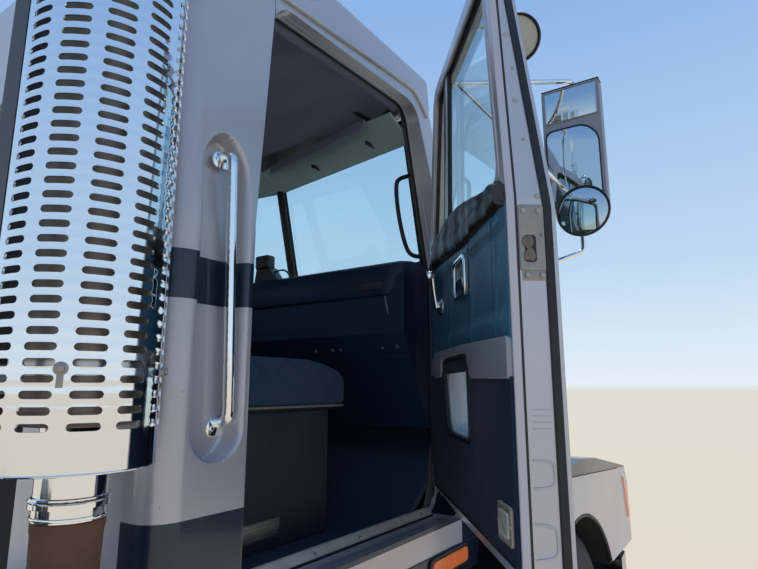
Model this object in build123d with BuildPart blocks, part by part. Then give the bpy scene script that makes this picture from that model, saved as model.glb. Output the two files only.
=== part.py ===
from build123d import *
import math
import os

# Conventional tractor unit with a day cab, in millimetres.
# +X forward, +Y to the driver's side, +Z up. The origin is on the ground under the middle.

# Overall layout
front_x = 3460
rear_x = -3460
front_axle_x = 2425
drive_axle_x = (-1365, -2685)
bogie_x = sum(drive_axle_x) / 2

# Tyres and wheels
tyre_radius = 520
tyre_width = 280
rim_radius = 286
rim_wall = 9
seat_gap = 1
front_wheel_y = 1030
dual_outer_y = 1080
dual_inner_y = 740
drum_radius = 205
hub_radius = 105
spindle_radius = 40
bearing_gap = 0.6
hand_holes = 10
hand_hole_ring = 212
disc_wall = 14
front_face = 102
front_dish = -60
dual_face = disc_wall - (dual_outer_y - dual_inner_y) / 2
dual_dish = 70
hand_hole_radius = 28

# Frame
rail_outside = 864
rail_depth = 267
rail_flange = 90
rail_wall = 9
frame_top = 1000
rail_front_x = 3300
web_inner_y = rail_outside / 2 - rail_wall
frame_bottom = frame_top - rail_depth

# Cab
cab_half_width = 1020
wall = 105
cab_rear_x = 480
cab_front_x = 1800
sill_bottom_z = 1055
firewall_bottom_z = 1130
floor_z = 1220
floor_thick = 45
roof_base_z = 2700
roof_top_z = 2860
panel = 45
corner_radius = 60
side_inner_y = cab_half_width - wall
lean_z = 2000
lean_slope = 0.075

# Windscreen: the pane edges at the centre and at the side, top and bottom
screen_centre_low = (1930, 2130)
screen_side_low = (1700, 2130)
screen_rake = 142
screen_top_z = 2700
glass_thick = 6
post_width = 34

# Doors
door_rear_x = 700
door_front_x = 1655
door_sill_z = 1243
door_belt_z = 2015
door_top_rear = (780, 2640)
door_top_front = (1480, 2675)
door_corner = 70
door_lip = 14
door_inner_sill_z = 1347
door_gap = 8
door_thick = 95
hinge_x = 1665
hinge_y = cab_half_width + 10
hinge_z = (1400, 1860)
barrel_radius = 9
hinge_pin_radius = 4.5
hinge_leaf = 6
door_open_deg = 38
window_sill_z = 2065
window_outline = [(736, 2065), (1602, 2065), (1436, 2637), (812, 2602)]
window_corner = 30
glass_depth = 65
peep_x = (1090, 1465)
peep_z = (1530, 1745)

# Hood
hood_rear_x = 1956
hood_front_x = 3440
hood_wall = 12
fender_half_width = 1210
fender_inner_y = 600
fender_bottom_z = 815
fender_rear_x = 1812
arch_radius = 600
hood_pivot_x = 3420
hood_pivot_z = 835
pin_radius = 15
pin_gap = 0.6
ear_thick = 16

# Bumper
bumper_top_z = 790
bumper_bottom_z = 450
bumper_half_width = 1215
bumper_wall = 10

# Steering
kingpin_y = 900
kingpin_radius = 22
arm_back = 190
arm_in = 90

# Fifth wheel
fifth_x = -1880
fifth_plate_top = 1190
fifth_plate_thick = 45
fifth_pivot_z = 1095
kingpin_bore = 25.6

# Exhaust
stack_x = 335
stack_y = -1030
stack_radius = 51
shield_radius = 118
shield_wall = 4
shield_bottom_z = 1544
sleeve_bottom_z = 1470
shield_top_z = 3080
stack_top_z = 3480
muffler_radius = 96
shield_opening_deg = (-10, 70, 150)

# Fuel tanks
tank_radius = 305
tank_y = 905
tank_z = 725
tank_x = (560, 1690)

nodes = []


def keep(part, label):
    """Name a finished piece and remember it for writing."""
    part.label = label
    nodes.append(part)
    return part


def side_plane(y):
    """Side-view sketch plane at y: local x is forward, local y is up, and it faces -Y."""
    return Plane.XZ.offset(-y)


def block(x, y, z, mode=Mode.ADD):
    """A box between two limits on each axis, inside the current part."""
    with Locations(((x[0] + x[1]) / 2, (y[0] + y[1]) / 2, (z[0] + z[1]) / 2)):
        Box(x[1] - x[0], y[1] - y[0], z[1] - z[0], mode=mode)


def side_prism(points, y, mode=Mode.ADD):
    """A side-view outline of (x, z) points, extruded between two y limits."""
    with BuildSketch(side_plane(max(y))) as outline:
        with BuildLine():
            Polyline(*points, close=True)
        make_face()
    extrude(outline.sketch, amount=max(y) - min(y), mode=mode)


def plan_prism(points, z, mode=Mode.ADD):
    """A plan outline of (x, y) points, extruded between two z limits."""
    with BuildSketch(Plane.XY.offset(min(z))) as outline:
        with BuildLine():
            Polyline(*points, close=True)
        make_face()
    extrude(outline.sketch, amount=max(z) - min(z), mode=mode)


def rod(start, end, radius, mode=Mode.ADD):
    """A round bar between two points."""
    run = Vector(*end) - Vector(*start)
    with BuildSketch(Plane(origin=start, z_dir=run)) as section:
        Circle(radius)
    extrude(section.sketch, amount=run.length, mode=mode)


def other_side(part):
    """The same piece for the other side of the vehicle."""
    return mirror(part, about=Plane.XZ)


def lean_back():
    """Cut the current part back to the cab sides, which lean inboard above the belt."""
    rise = 900
    outside = cab_half_width + 60
    for side in (-1, 1):
        with BuildSketch(Plane.YZ.offset(cab_rear_x - 50)) as wedge:
            with BuildLine():
                Polyline((side * cab_half_width, lean_z),
                         (side * (cab_half_width - lean_slope * rise), lean_z + rise),
                         (side * outside, lean_z + rise), (side * outside, lean_z), close=True)
            make_face()
        extrude(wedge.sketch, amount=cab_front_x + 100 - cab_rear_x, mode=Mode.SUBTRACT)


def door_swing(part):
    """The right door's pieces, swung out about the hinge to where it stands open."""
    hinge = Axis((hinge_x, -hinge_y, 0), (0, 0, 1))
    return part.rotate(hinge, door_open_deg)


# Chassis frame: two channel rails
with BuildPart() as frame_rails:
    for side in (-1, 1):
        y = side * (rail_outside - rail_flange) / 2
        z = frame_top - rail_depth / 2
        with BuildSketch(Plane.YZ.offset(rear_x)):
            with Locations((y, z)):
                Rectangle(rail_flange, rail_depth)
            with Locations((y - side * rail_wall, z)):
                Rectangle(rail_flange, rail_depth - 2 * rail_wall, mode=Mode.SUBTRACT)
        extrude(amount=rail_front_x - rear_x)
keep(frame_rails.part, "frame_rails")

# Crossmembers, the front one with the hood's hinge brackets and pins
crossmember_x = (rear_x + 60, -2685 + 330, bogie_x, -1365 + 330, -300, 300, rail_front_x - 60)
crossmember_z = (880, 980)
crossmember_wall = 10
bracket_y = 300
bracket_thick = 24
with BuildPart() as crossmembers:
    for x in crossmember_x:
        block((x - 45, x + 45), (-web_inner_y, web_inner_y), crossmember_z)
        block((x - 45 + crossmember_wall, x + 45 - crossmember_wall), (-web_inner_y, web_inner_y),
              (crossmember_z[0] + crossmember_wall, crossmember_z[1] - crossmember_wall), Mode.SUBTRACT)
    block((rail_front_x, front_x - bumper_wall), (-web_inner_y, web_inner_y),
          (frame_bottom - 60, frame_bottom + 20))
    for side in (-1, 1):
        y = side * bracket_y
        side_prism([(rail_front_x, frame_bottom), (hood_pivot_x + 18, frame_bottom),
                    (hood_pivot_x + 18, hood_pivot_z + 18), (hood_pivot_x - 22, hood_pivot_z + 18),
                    (rail_front_x - 100, frame_top - 60), (rail_front_x - 100, frame_bottom)],
                   (y - bracket_thick / 2, y + bracket_thick / 2))
        rod((hood_pivot_x, y - 45, hood_pivot_z), (hood_pivot_x, y + 45, hood_pivot_z), pin_radius)
keep(crossmembers.part, "crossmembers")

# Bumper: a wrapped channel, open at the back
bumper_plan = [(front_x, -800), (front_x - 55, -1080), (front_x - 190, -bumper_half_width + 10),
               (front_x - 330, -bumper_half_width)]
with BuildPart() as front_bumper:
    with BuildSketch(Plane.XY.offset(bumper_bottom_z)):
        with BuildLine():
            Polyline(*bumper_plan)
            Polyline(bumper_plan[-1], (front_x - 330, bumper_half_width))
            Polyline(*[(x, -y) for x, y in bumper_plan])
            Line(bumper_plan[0], (front_x, 800))
        make_face()
    extrude(amount=bumper_top_z - bumper_bottom_z)
    fillet(front_bumper.edges().filter_by(Axis.Z).group_by(Axis.X)[-1], 60)
    rim = front_bumper.faces().sort_by(Axis.X)[0]
    offset(amount=-bumper_wall, openings=rim)
    block((front_x - 340, front_x - bumper_wall - 8), (-web_inner_y - 30, web_inner_y + 30),
          (bumper_bottom_z + 60, bumper_top_z + 10), Mode.SUBTRACT)
    for side in (-1, 1):
        with Locations(Location((front_x, side * 620, (bumper_top_z + bumper_bottom_z) / 2), (0, 90, 0))):
            Cylinder(70, 60, mode=Mode.SUBTRACT)
keep(front_bumper.part, "front_bumper")


# Wheels and tyres
def tyre_at(x, y):
    """A tyre on the axle line at x, with its middle at y."""
    half = tyre_width / 2
    bead = rim_radius + seat_gap
    plane = Plane(origin=(x, y, tyre_radius), x_dir=(1, 0, 0), z_dir=(0, 0, 1))
    with BuildPart() as tyre:
        with BuildSketch(plane):
            with BuildLine():
                Polyline((bead, half - 26), (bead, 26 - half))
                ThreePointArc((bead, 26 - half), (bead + 100, -half), (tyre_radius - 32, 20 - half))
                Polyline((tyre_radius - 32, 20 - half), (tyre_radius, 42 - half), (tyre_radius, half - 42),
                         (tyre_radius - 32, half - 20))
                ThreePointArc((tyre_radius - 32, half - 20), (bead + 100, half), (bead, half - 26))
            make_face()
        revolve(axis=Axis((x, y, tyre_radius), (0, 1, 0)))
    return tyre.part


def disc_wheel_at(x, y, side, face, dish):
    """One rim with its disc and hand holes; side is -1 on the right.

    The disc's flat face is that far out from the rim's middle, and meets the rim a dish further out.
    """
    half = tyre_width / 2 - 28
    bore = 80
    plane = Plane(origin=(x, y, tyre_radius), x_dir=(1, 0, 0), z_dir=(0, 0, 1))
    axis = Axis((x, y, tyre_radius), (0, 1, 0))
    with BuildPart() as wheel:
        with BuildSketch(plane):
            with BuildLine():
                Polyline((rim_radius - rim_wall, -half), (rim_radius, -half), (rim_radius, half),
                         (rim_radius - rim_wall, half), close=True)
            make_face()
            with BuildLine():
                Polyline((bore, side * (face - disc_wall)), (150, side * (face - disc_wall)),
                         (rim_radius - rim_wall, side * (face + dish - disc_wall)),
                         (rim_radius - rim_wall, side * (face + dish)),
                         (152, side * face), (bore, side * face), close=True)
            make_face()
        revolve(axis=axis)
        for k in range(hand_holes):
            angle = math.radians(36 * k)
            spot = (x + hand_hole_ring * math.cos(angle), y + side * (face + dish / 2 - disc_wall / 2),
                    tyre_radius + hand_hole_ring * math.sin(angle))
            with Locations(Location(spot, (90, 0, 0))):
                Cylinder(hand_hole_radius, 60, mode=Mode.SUBTRACT)
    return wheel.part


def front_wheel_at(side):
    """Front wheel with its hub and brake drum, bored for the spindle."""
    y = side * front_wheel_y
    face = front_face
    bore = spindle_radius + bearing_gap
    plane = Plane(origin=(front_axle_x, y, tyre_radius), x_dir=(1, 0, 0), z_dir=(0, 0, 1))
    with BuildPart() as wheel:
        add(disc_wheel_at(front_axle_x, y, side, front_face, front_dish))
        with BuildSketch(plane):
            with BuildLine():
                Polyline((0, side * (face + 70)), (60, side * (face + 66)),
                         (hub_radius - 22, side * (face + 4)),
                         (hub_radius, side * (face - 16)), (drum_radius, side * (face - 20)),
                         (drum_radius, side * (face - 150)), (drum_radius - 14, side * (face - 150)),
                         (drum_radius - 14, side * (face - 40)), (hub_radius - 20, side * (face - 44)),
                         (hub_radius - 20, side * (face - 120)), (bore, side * (face - 120)),
                         (bore, side * (face + 30)), (0, side * (face + 30)), close=True)
            make_face()
        revolve(axis=Axis((front_axle_x, y, tyre_radius), (0, 1, 0)))
    return wheel.part


def drive_wheel_at(x, side):
    """A pair of rims bolted back to back, with the hub and brake drum between them and the axle."""
    with BuildPart() as wheel:
        add(disc_wheel_at(x, side * dual_outer_y, side, dual_face, dual_dish))
        add(disc_wheel_at(x, side * dual_inner_y, -side, dual_face, dual_dish))
        plane = Plane(origin=(x, 0, tyre_radius), x_dir=(1, 0, 0), z_dir=(0, 0, 1))
        hub_face = (dual_outer_y + dual_inner_y) / 2 - disc_wall
        bore = spindle_radius + bearing_gap
        with BuildSketch(plane):
            with BuildLine():
                Polyline((0, side * (hub_face + 140)), (60, side * (hub_face + 134)),
                         (84, side * (hub_face + 40)), (84, side * hub_face), (150, side * hub_face),
                         (150, side * (hub_face - 16)), (drum_radius, side * (hub_face - 22)),
                         (drum_radius, side * 590), (drum_radius - 14, side * 590),
                         (drum_radius - 14, side * (hub_face - 48)), (hub_radius, side * (hub_face - 52)),
                         (hub_radius, side * 640), (bore, side * 640),
                         (bore, side * (hub_face + 110)), (0, side * (hub_face + 110)), close=True)
            make_face()
        revolve(axis=Axis((x, 0, tyre_radius), (0, 1, 0)))
    return wheel.part


corners = (("right", -1), ("left", 1))
for word, side in corners:
    keep(tyre_at(front_axle_x, side * front_wheel_y), f"front_tyre_{word}")
    keep(front_wheel_at(side), f"front_wheel_{word}")
    for axle, x in zip(("forward", "rearward"), drive_axle_x):
        pair = Compound(children=[tyre_at(x, side * dual_outer_y), tyre_at(x, side * dual_inner_y)])
        keep(pair, f"drive_tyres_{axle}_{word}")
        keep(drive_wheel_at(x, side), f"drive_wheels_{axle}_{word}")

# Front axle: a dropped beam with kingpin bosses, and the leaf springs above it
spring_y = 400
spring_pad_z = 470
boss_half = 62
spring_half = 640
with BuildPart() as front_axle:
    with BuildSketch(Plane.YZ.offset(front_axle_x - 45)):
        with BuildLine():
            Polyline((-kingpin_y, 565), (-kingpin_y + 120, 545), (-600, spring_pad_z), (600, spring_pad_z),
                     (kingpin_y - 120, 545), (kingpin_y, 565), (kingpin_y, 475), (kingpin_y - 130, 445),
                     (600, spring_pad_z - 95), (-600, spring_pad_z - 95), (-kingpin_y + 130, 445),
                     (-kingpin_y, 475), close=True)
        make_face()
    extrude(amount=90)
    for side in (-1, 1):
        with Locations((front_axle_x, side * kingpin_y, tyre_radius)):
            Cylinder(46, 2 * boss_half)
            Cylinder(kingpin_radius, 2 * boss_half + 90)
        y = side * spring_y
        block((front_axle_x - 70, front_axle_x + 70), (y - 45, y + 45),
              (spring_pad_z - 20, spring_pad_z + 20))
        with BuildSketch(side_plane(y + 45)):
            with BuildLine():
                ThreePointArc((front_axle_x - spring_half, 640), (front_axle_x, spring_pad_z + 70),
                              (front_axle_x + spring_half, 640))
                Line((front_axle_x + spring_half, 640), (front_axle_x + spring_half, 612))
                ThreePointArc((front_axle_x + spring_half, 612), (front_axle_x, spring_pad_z),
                              (front_axle_x - spring_half, 612))
                Line((front_axle_x - spring_half, 612), (front_axle_x - spring_half, 640))
            make_face()
        extrude(amount=90)
        for end in (-1, 1):
            x = front_axle_x + end * (spring_half - 25)
            block((x - 45, x + 45), (y - 30, y + 30), (600, frame_bottom))
keep(front_axle.part, "front_axle")

# Steering knuckles: a yoke about each kingpin, the spindle, the backing plate and the steering arm
yoke_gap = 0.6
arm_bottom_z = tyre_radius - boss_half - yoke_gap - 40
with BuildPart() as knuckle_right:
    for low, high in ((tyre_radius - boss_half - yoke_gap - 34, tyre_radius - boss_half - yoke_gap),
                      (tyre_radius + boss_half + yoke_gap, tyre_radius + boss_half + yoke_gap + 34)):
        with Locations((front_axle_x, -kingpin_y, (low + high) / 2)):
            Cylinder(48, high - low)
        block((front_axle_x - 45, front_axle_x + 45), (-kingpin_y - 75, -kingpin_y), (low, high))
    block((front_axle_x - 45, front_axle_x + 45), (-kingpin_y - 80, -kingpin_y - 52),
          (tyre_radius - boss_half - 30, tyre_radius + boss_half + 30))
    rod((front_axle_x, -kingpin_y - 60, tyre_radius), (front_axle_x, -front_wheel_y - 130, tyre_radius),
        spindle_radius)
    plan_prism([(front_axle_x - 30, -kingpin_y - 20),
                (front_axle_x - arm_back - 25, -kingpin_y + arm_in - 20),
                (front_axle_x - arm_back - 25, -kingpin_y + arm_in + 25),
                (front_axle_x - arm_back + 25, -kingpin_y + arm_in + 25),
                (front_axle_x - 20, -kingpin_y + 30)],
               (arm_bottom_z, arm_bottom_z + 20))
    for z in (tyre_radius - boss_half - 17, tyre_radius + boss_half + 17):
        with Locations((front_axle_x, -kingpin_y, z)):
            Cylinder(kingpin_radius + bearing_gap, 60, mode=Mode.SUBTRACT)
    with Locations(Location((front_axle_x, -kingpin_y - 84, tyre_radius), (90, 0, 0))):
        Cylinder(178, 8)
keep(knuckle_right.part, "knuckle_right")
keep(other_side(knuckle_right.part), "knuckle_left")

# Tie rod behind the beam, hung under the two steering arms
rod_half = kingpin_y - arm_in
with BuildPart() as tie_rod:
    rod((front_axle_x - arm_back, -rod_half, arm_bottom_z - 28),
        (front_axle_x - arm_back, rod_half, arm_bottom_z - 28), 20)
    for side in (-1, 1):
        with Locations((front_axle_x - arm_back, side * rod_half, arm_bottom_z - 0.6 - 25)):
            Cylinder(24, 50)
keep(tie_rod.part, "tie_rod")

# Drive axles: a banjo housing with tubes and spindles, the nose, and the propeller shafts
pinion_z = tyre_radius + 40
gearbox_rear_x = 880
with BuildPart() as drive_axles:
    for x in drive_axle_x:
        with Locations(Location((x, 0, tyre_radius), (90, 0, 0))):
            Cylinder(70, 2 * 600)
            Cylinder(spindle_radius, 2 * 960)
        with Locations((x - 10, 0, tyre_radius)):
            Sphere(205)
        with Locations(Location((x + 210, 0, pinion_z), (0, 90, 0))):
            Cylinder(95, 220)
        for side in (-1, 1):
            with Locations(Location((x, side * 592, tyre_radius), (90, 0, 0))):
                Cylinder(170, 8)
    rod((drive_axle_x[0] + 250, 0, pinion_z), (gearbox_rear_x + 30, 0, 900), 55)
    rod((drive_axle_x[1] + 250, 0, pinion_z), (drive_axle_x[0], 0, pinion_z), 50)
    block((gearbox_rear_x, gearbox_rear_x + 100), (-100, 100), (800, 1000), Mode.SUBTRACT)
keep(drive_axles.part, "drive_axles")

# Rear suspension: a leaf pack over each axle end, in hangers bolted outside the rails
leaf_y = 505
with BuildPart() as rear_suspension:
    for side in (-1, 1):
        y0 = side * (rail_outside / 2)
        y1 = side * (leaf_y + 45)
        for x in drive_axle_x:
            block((x - 590, x + 590), sorted((side * (leaf_y - 40), side * (leaf_y + 40))),
                  (tyre_radius + 130, tyre_radius + 185))
            block((x - 90, x + 90), sorted((side * (leaf_y - 42), side * (leaf_y + 42))),
                  (tyre_radius + 70, tyre_radius + 215))
        for x in (drive_axle_x[0] + 610, bogie_x, drive_axle_x[1] - 610):
            side_prism([(x - 100, frame_top - 60), (x + 100, frame_top - 60), (x + 90, tyre_radius + 100),
                        (x - 90, tyre_radius + 100)], (y0, y1))
keep(rear_suspension.part, "rear_suspension")

# Engine with its gearbox as one plain block each, and the radiator ahead of it
with BuildPart() as engine:
    block((1850, 2900), (-330, 330), (690, 1560))
    block((1500, 1850), (-230, 230), (700, 1080))
    block((gearbox_rear_x, 1500), (-190, 190), (720, 1060))
    for x in (2000, 2780):
        block((x - 60, x + 60), (-web_inner_y, web_inner_y), (820, 880))
keep(engine.part, "engine")
with BuildPart() as radiator:
    block((2990, 3110), (-335, 335), (760, frame_top + 0.3))
    block((2990, 3110), (-430, 430), (frame_top + 0.3, 1450))
    block((2910, 2990), (-300, 300), (820, 1400))
keep(radiator.part, "radiator")

# Fuel tanks, with the two steps on each
with BuildPart() as fuel_tank_right:
    with Locations(Location(((tank_x[0] + tank_x[1]) / 2, -tank_y, tank_z), (0, 90, 0))):
        Cylinder(tank_radius, tank_x[1] - tank_x[0])
    fillet(fuel_tank_right.edges().filter_by(GeomType.CIRCLE), 40)
    for x in (tank_x[0] + 220, tank_x[1] - 220):
        block((x - 40, x + 40), (-tank_y, -rail_outside / 2), (frame_bottom, frame_bottom + 60))
keep(fuel_tank_right.part, "fuel_tank_right")
keep(other_side(fuel_tank_right.part), "fuel_tank_left")

# Steps on the tanks
step_z = (520, 850)
step_out = 1235
with BuildPart() as tank_steps:
    for side in (-1, 1):
        for z, reach in zip(step_z, (0, -40)):
            block((1080, 1520), sorted((side * (tank_y + 150), side * (step_out + reach))), (z, z + 40))
        for x in (1080, 1490):
            block((x, x + 30), sorted((side * (tank_y + 250), side * step_out)), (step_z[0], step_z[1] + 40))
        with Locations(Location(((tank_x[0] + tank_x[1]) / 2, side * tank_y, tank_z), (0, 90, 0))):
            Cylinder(tank_radius + 0.5, tank_x[1] - tank_x[0] + 200, mode=Mode.SUBTRACT)
keep(tank_steps.part, "tank_steps")

# Battery box on the left and the air tanks on the right, behind the fuel tanks
with BuildPart() as battery_box:
    block((-160, 480), (rail_outside / 2, 1120), (600, 960))
    fillet(battery_box.edges().filter_by(Axis.X), 30)
keep(battery_box.part, "battery_box")
with BuildPart() as air_tanks:
    for z in (655, 885):
        with Locations(Location((-120, -560, z), (0, 90, 0))):
            Cylinder(105, 760)
    for x in (-380, 130):
        block((x - 20, x + 20), (-560, -rail_outside / 2), (640, 900))
keep(air_tanks.part, "air_tanks")


# Cab: each panel is cut from the same side outline, so that the joints between them meet
def door_face(gap):
    """Side-view face of the door, grown by a gap on all sides."""
    with BuildSketch(side_plane(0)) as face:
        with BuildLine():
            Polyline((door_rear_x, door_sill_z), (door_front_x, door_sill_z), (door_front_x, door_belt_z),
                     door_top_front, door_top_rear, (door_rear_x, door_belt_z), close=True)
        make_face()
        fillet(face.vertices(), door_corner)
        if gap:
            offset(amount=gap, mode=Mode.REPLACE)
    return face.sketch


def rear_uprights(piece):
    """The upright edges of a piece at the cab's rear face."""
    at_rear = piece.edges().filter_by(lambda e: abs(e.center().X - cab_rear_x) < 1)
    return at_rear.filter_by(lambda e: abs(e.tangent_at(0.5).Z) > 0.9)


screen_side_top = (screen_side_low[0] - screen_rake, screen_top_z)
screen_lip = 22
pillar_front = [(screen_side_low[0] + screen_lip, screen_side_low[1]),
                (screen_side_top[0] + screen_lip, screen_top_z)]
side_outline = [(cab_rear_x, sill_bottom_z), (cab_front_x, sill_bottom_z), (cab_front_x, 2010),
                (pillar_front[0][0] + 30, 2070), pillar_front[0], pillar_front[1], (cab_rear_x, roof_base_z)]
with BuildPart() as cab_side:
    side_prism(side_outline, (-cab_half_width, -side_inner_y))
    lean_back()
    fillet(rear_uprights(cab_side).filter_by(lambda e: e.center().Y < -cab_half_width + 70), corner_radius)
    doorway = door_face(door_gap).moved(Location((0, -side_inner_y + 5, 0)))
    add(extrude(doorway, amount=wall + 10, mode=Mode.PRIVATE), mode=Mode.SUBTRACT)

corner_front_x = 770
sill_front_x = 1560
sill_top_z = door_sill_z + 20
rail_low_z = 2560


def side_piece(side, x, z):
    """What lies of one cab side between two limits forward and up."""
    with BuildPart() as piece:
        add(cab_side.part if side < 0 else other_side(cab_side.part))
        block(x, (-1100, 1100), z, Mode.INTERSECT)
    return piece.part


recess_depth = 40
recess_outline = [(548, 1575), (545, 1950), (565, 2140), (600, 2196), (636, 2186),
                  (655, 2140), (676, 1575), (655, 1535), (613, 1522), (568, 1535)]
with BuildPart() as cab_corner_right:
    add(side_piece(-1, (0, corner_front_x), (1000, 3000)))
    with BuildSketch(side_plane(-cab_half_width + recess_depth)) as recess:
        with BuildLine():
            Polyline(*recess_outline, close=True)
        make_face()
        fillet(recess.vertices(), 18)
    extrude(amount=recess_depth + 20, mode=Mode.SUBTRACT)
keep(cab_corner_right.part, "cab_corner_right")
keep(other_side(cab_corner_right.part), "cab_corner_left")

# Grab handles in the corner recesses, each with two foot plates
handle_radius = 12
handle_bend = 18
handle_low = (648, 1592)
handle_high = (626, 2160)
handle_y = cab_half_width - 12
foot_y = cab_half_width - recess_depth
with BuildPart() as grab_handles:
    for side in (-1, 1):
        corners = [(handle_low[0], side * foot_y, handle_low[1]),
                   (handle_low[0], side * handle_y, handle_low[1]),
                   (handle_high[0], side * handle_y, handle_high[1]),
                   (handle_high[0], side * foot_y, handle_high[1])]
        with BuildLine() as route:
            FilletPolyline(*corners, radius=handle_bend)
        with BuildSketch(Plane(origin=corners[0], z_dir=(0, side, 0))) as section:
            Circle(handle_radius)
        sweep(section.sketch, path=route.wire())
        for x, z in (handle_low, handle_high):
            block((x - 34, x + 8), sorted((side * foot_y, side * (foot_y + 5))), (z - 30, z + 6))
keep(grab_handles.part, "grab_handles")

# Cab floor with the two door sills
with BuildPart() as cab_floor:
    block((cab_rear_x + panel, cab_front_x - panel), (-side_inner_y, side_inner_y),
          (floor_z - floor_thick, floor_z))
    for side in (-1, 1):
        add(side_piece(side, (corner_front_x, sill_front_x), (1000, sill_top_z)))
    for y in (-420, 420):
        block((cab_rear_x + 120, cab_front_x - 160), (y - 60, y + 60),
              (frame_top + 0.3, floor_z - floor_thick))
keep(cab_floor.part, "cab_floor")

# Cab back wall with its window
with BuildPart() as cab_back:
    block((cab_rear_x, cab_rear_x + panel), (-side_inner_y, side_inner_y), (firewall_bottom_z, roof_base_z))
    with BuildSketch(Plane.YZ.offset(cab_rear_x - 5)):
        with Locations((0, 2270)):
            RectangleRounded(1100, 420, 60)
    extrude(amount=panel + 10, mode=Mode.SUBTRACT)
keep(cab_back.part, "cab_back")

# Roof: crowned shell with the two side rails above the doors
roof_edge_radius = 50
roof_front_side = screen_side_top[0] + screen_lip
roof_front_centre = screen_centre_low[0] - screen_rake + screen_lip
roof_plan = [(cab_rear_x, -cab_half_width), (roof_front_side, -cab_half_width),
             (roof_front_side + 20, -side_inner_y),
             (roof_front_centre, 0), (roof_front_side + 20, side_inner_y), (roof_front_side, cab_half_width),
             (cab_rear_x, cab_half_width)]
with BuildPart() as cab_roof:
    plan_prism(roof_plan, (roof_base_z, roof_top_z))
    lean_back()
    fillet(rear_uprights(cab_roof), corner_radius)
    fillet(cab_roof.faces().sort_by(Axis.Z)[-1].edges(), roof_edge_radius)
    with BuildSketch(Plane.XY.offset(roof_base_z - 1)):
        with BuildLine():
            Polyline((cab_rear_x + 60, -side_inner_y + 20), (roof_front_side - 50, -side_inner_y + 20),
                     (roof_front_centre - 60, 0), (roof_front_side - 50, side_inner_y - 20),
                     (cab_rear_x + 60, side_inner_y - 20), close=True)
        make_face()
    extrude(amount=roof_top_z - roof_base_z - 40, mode=Mode.SUBTRACT)
    for side in (-1, 1):
        add(side_piece(side, (corner_front_x, cab_front_x), (rail_low_z, 3000)))
keep(cab_roof.part, "cab_roof")

# Cab front: pillars, cowl, firewall and the post between the panes
cowl_front_x = 1946
cowl_plan = [(cab_front_x - 110, -side_inner_y), (cab_front_x, -side_inner_y), (cowl_front_x - 6, -790),
             (cowl_front_x, 0), (cowl_front_x - 6, 790), (cab_front_x, side_inner_y),
             (cab_front_x - 110, side_inner_y)]
with BuildPart() as cab_front:
    for side in (-1, 1):
        add(side_piece(side, (sill_front_x, cab_front_x), (1000, rail_low_z)))
        add(side_piece(side, (sill_front_x - 200, sill_front_x), (door_belt_z, rail_low_z)))
    plan_prism(cowl_plan, (2070, 2112))
    block((cab_front_x - panel, cab_front_x), (-side_inner_y, side_inner_y), (firewall_bottom_z, 2070))
    block((cab_front_x, cowl_front_x - 8), (-780, 780), (1700, 2070))
    block((cab_front_x, cowl_front_x - 48), (-740, 740), (1660, 2030), Mode.SUBTRACT)
    post_x = screen_centre_low[0] - 6
    side_prism([(post_x - 14, 2112), (post_x + 14, 2112), (post_x + 14 - screen_rake, roof_base_z),
                (post_x - 14 - screen_rake, roof_base_z)], (-post_width / 2, post_width / 2))
    for side in (-1, 1):
        skin = sorted((side * cab_half_width, side * (cab_half_width + hinge_leaf)))
        for z in hinge_z:
            block((hinge_x + 15, hinge_x + 70), skin, (z - 20, z + 20))
            for middle in (z - 30, z + 30):
                block((hinge_x, hinge_x + 70), skin, (middle - 10, middle + 10))
                with Locations((hinge_x, side * hinge_y, middle)):
                    Cylinder(barrel_radius, 20)
            with Locations((hinge_x, side * hinge_y, z)):
                Cylinder(hinge_pin_radius, 80)
keep(cab_front.part, "cab_front")

# Glass of the cab: two flat windscreen panes and the back window
screen_low_z = 2112
slope = screen_rake / (screen_top_z - screen_side_low[1])


def pane(side):
    """One flat windscreen pane between the centre post and the side pillar."""
    low_shift = (screen_side_low[1] - screen_low_z) * slope
    top_shift = -screen_rake
    along = Vector(screen_side_low[0] - screen_centre_low[0], side * side_inner_y, 0)
    inner = 0.03
    outer = 0.995
    base = Vector(screen_centre_low[0], 0, 0)
    corners_3d = []
    for share, shift, z in ((inner, low_shift, screen_low_z + 0.3), (outer, low_shift, screen_low_z + 0.3),
                            (outer, top_shift, screen_top_z - 1.8), (inner, top_shift, screen_top_z - 1.8)):
        corners_3d.append(base + along * share + Vector(shift, 0, z))
    normal = (corners_3d[1] - corners_3d[0]).cross(corners_3d[3] - corners_3d[0]).normalized()
    if normal.X < 0:
        normal = normal * -1
    outline = Wire.make_polygon(corners_3d, close=True)
    return Solid.extrude(Face(outline), normal * glass_thick)


panes = [pane(-1), pane(1)]
with BuildPart() as back_pane:
    with BuildSketch(Plane.YZ.offset(cab_rear_x + 15)):
        with Locations((0, 2270)):
            RectangleRounded(1099, 419, 60)
    extrude(amount=glass_thick)
cab_glass = Compound(children=panes + back_pane.part.solids())
keep(cab_glass, "cab_glass")

# Dashboard, engine cover, seats and steering wheel
with BuildPart() as dashboard:
    side_prism([(1500, 2085), (1530, 2104), (1686, 2108), (1686, 2068), (cab_front_x - panel, 2068),
                (cab_front_x - panel, 1520),
                (1640, 1520), (1480, 1850), (1480, 2040)], (-side_inner_y, side_inner_y))
keep(dashboard.part, "dashboard")

with BuildPart() as engine_cover:
    side_prism([(1150, floor_z), (cab_front_x - panel, floor_z), (cab_front_x - panel, 1519.5),
                (1640, 1519.5), (1200, 1400)], (-230, 230))
    fillet(engine_cover.edges().filter_by(Axis.X).group_by(Axis.Z)[-1], 30)
keep(engine_cover.part, "engine_cover")

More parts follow.
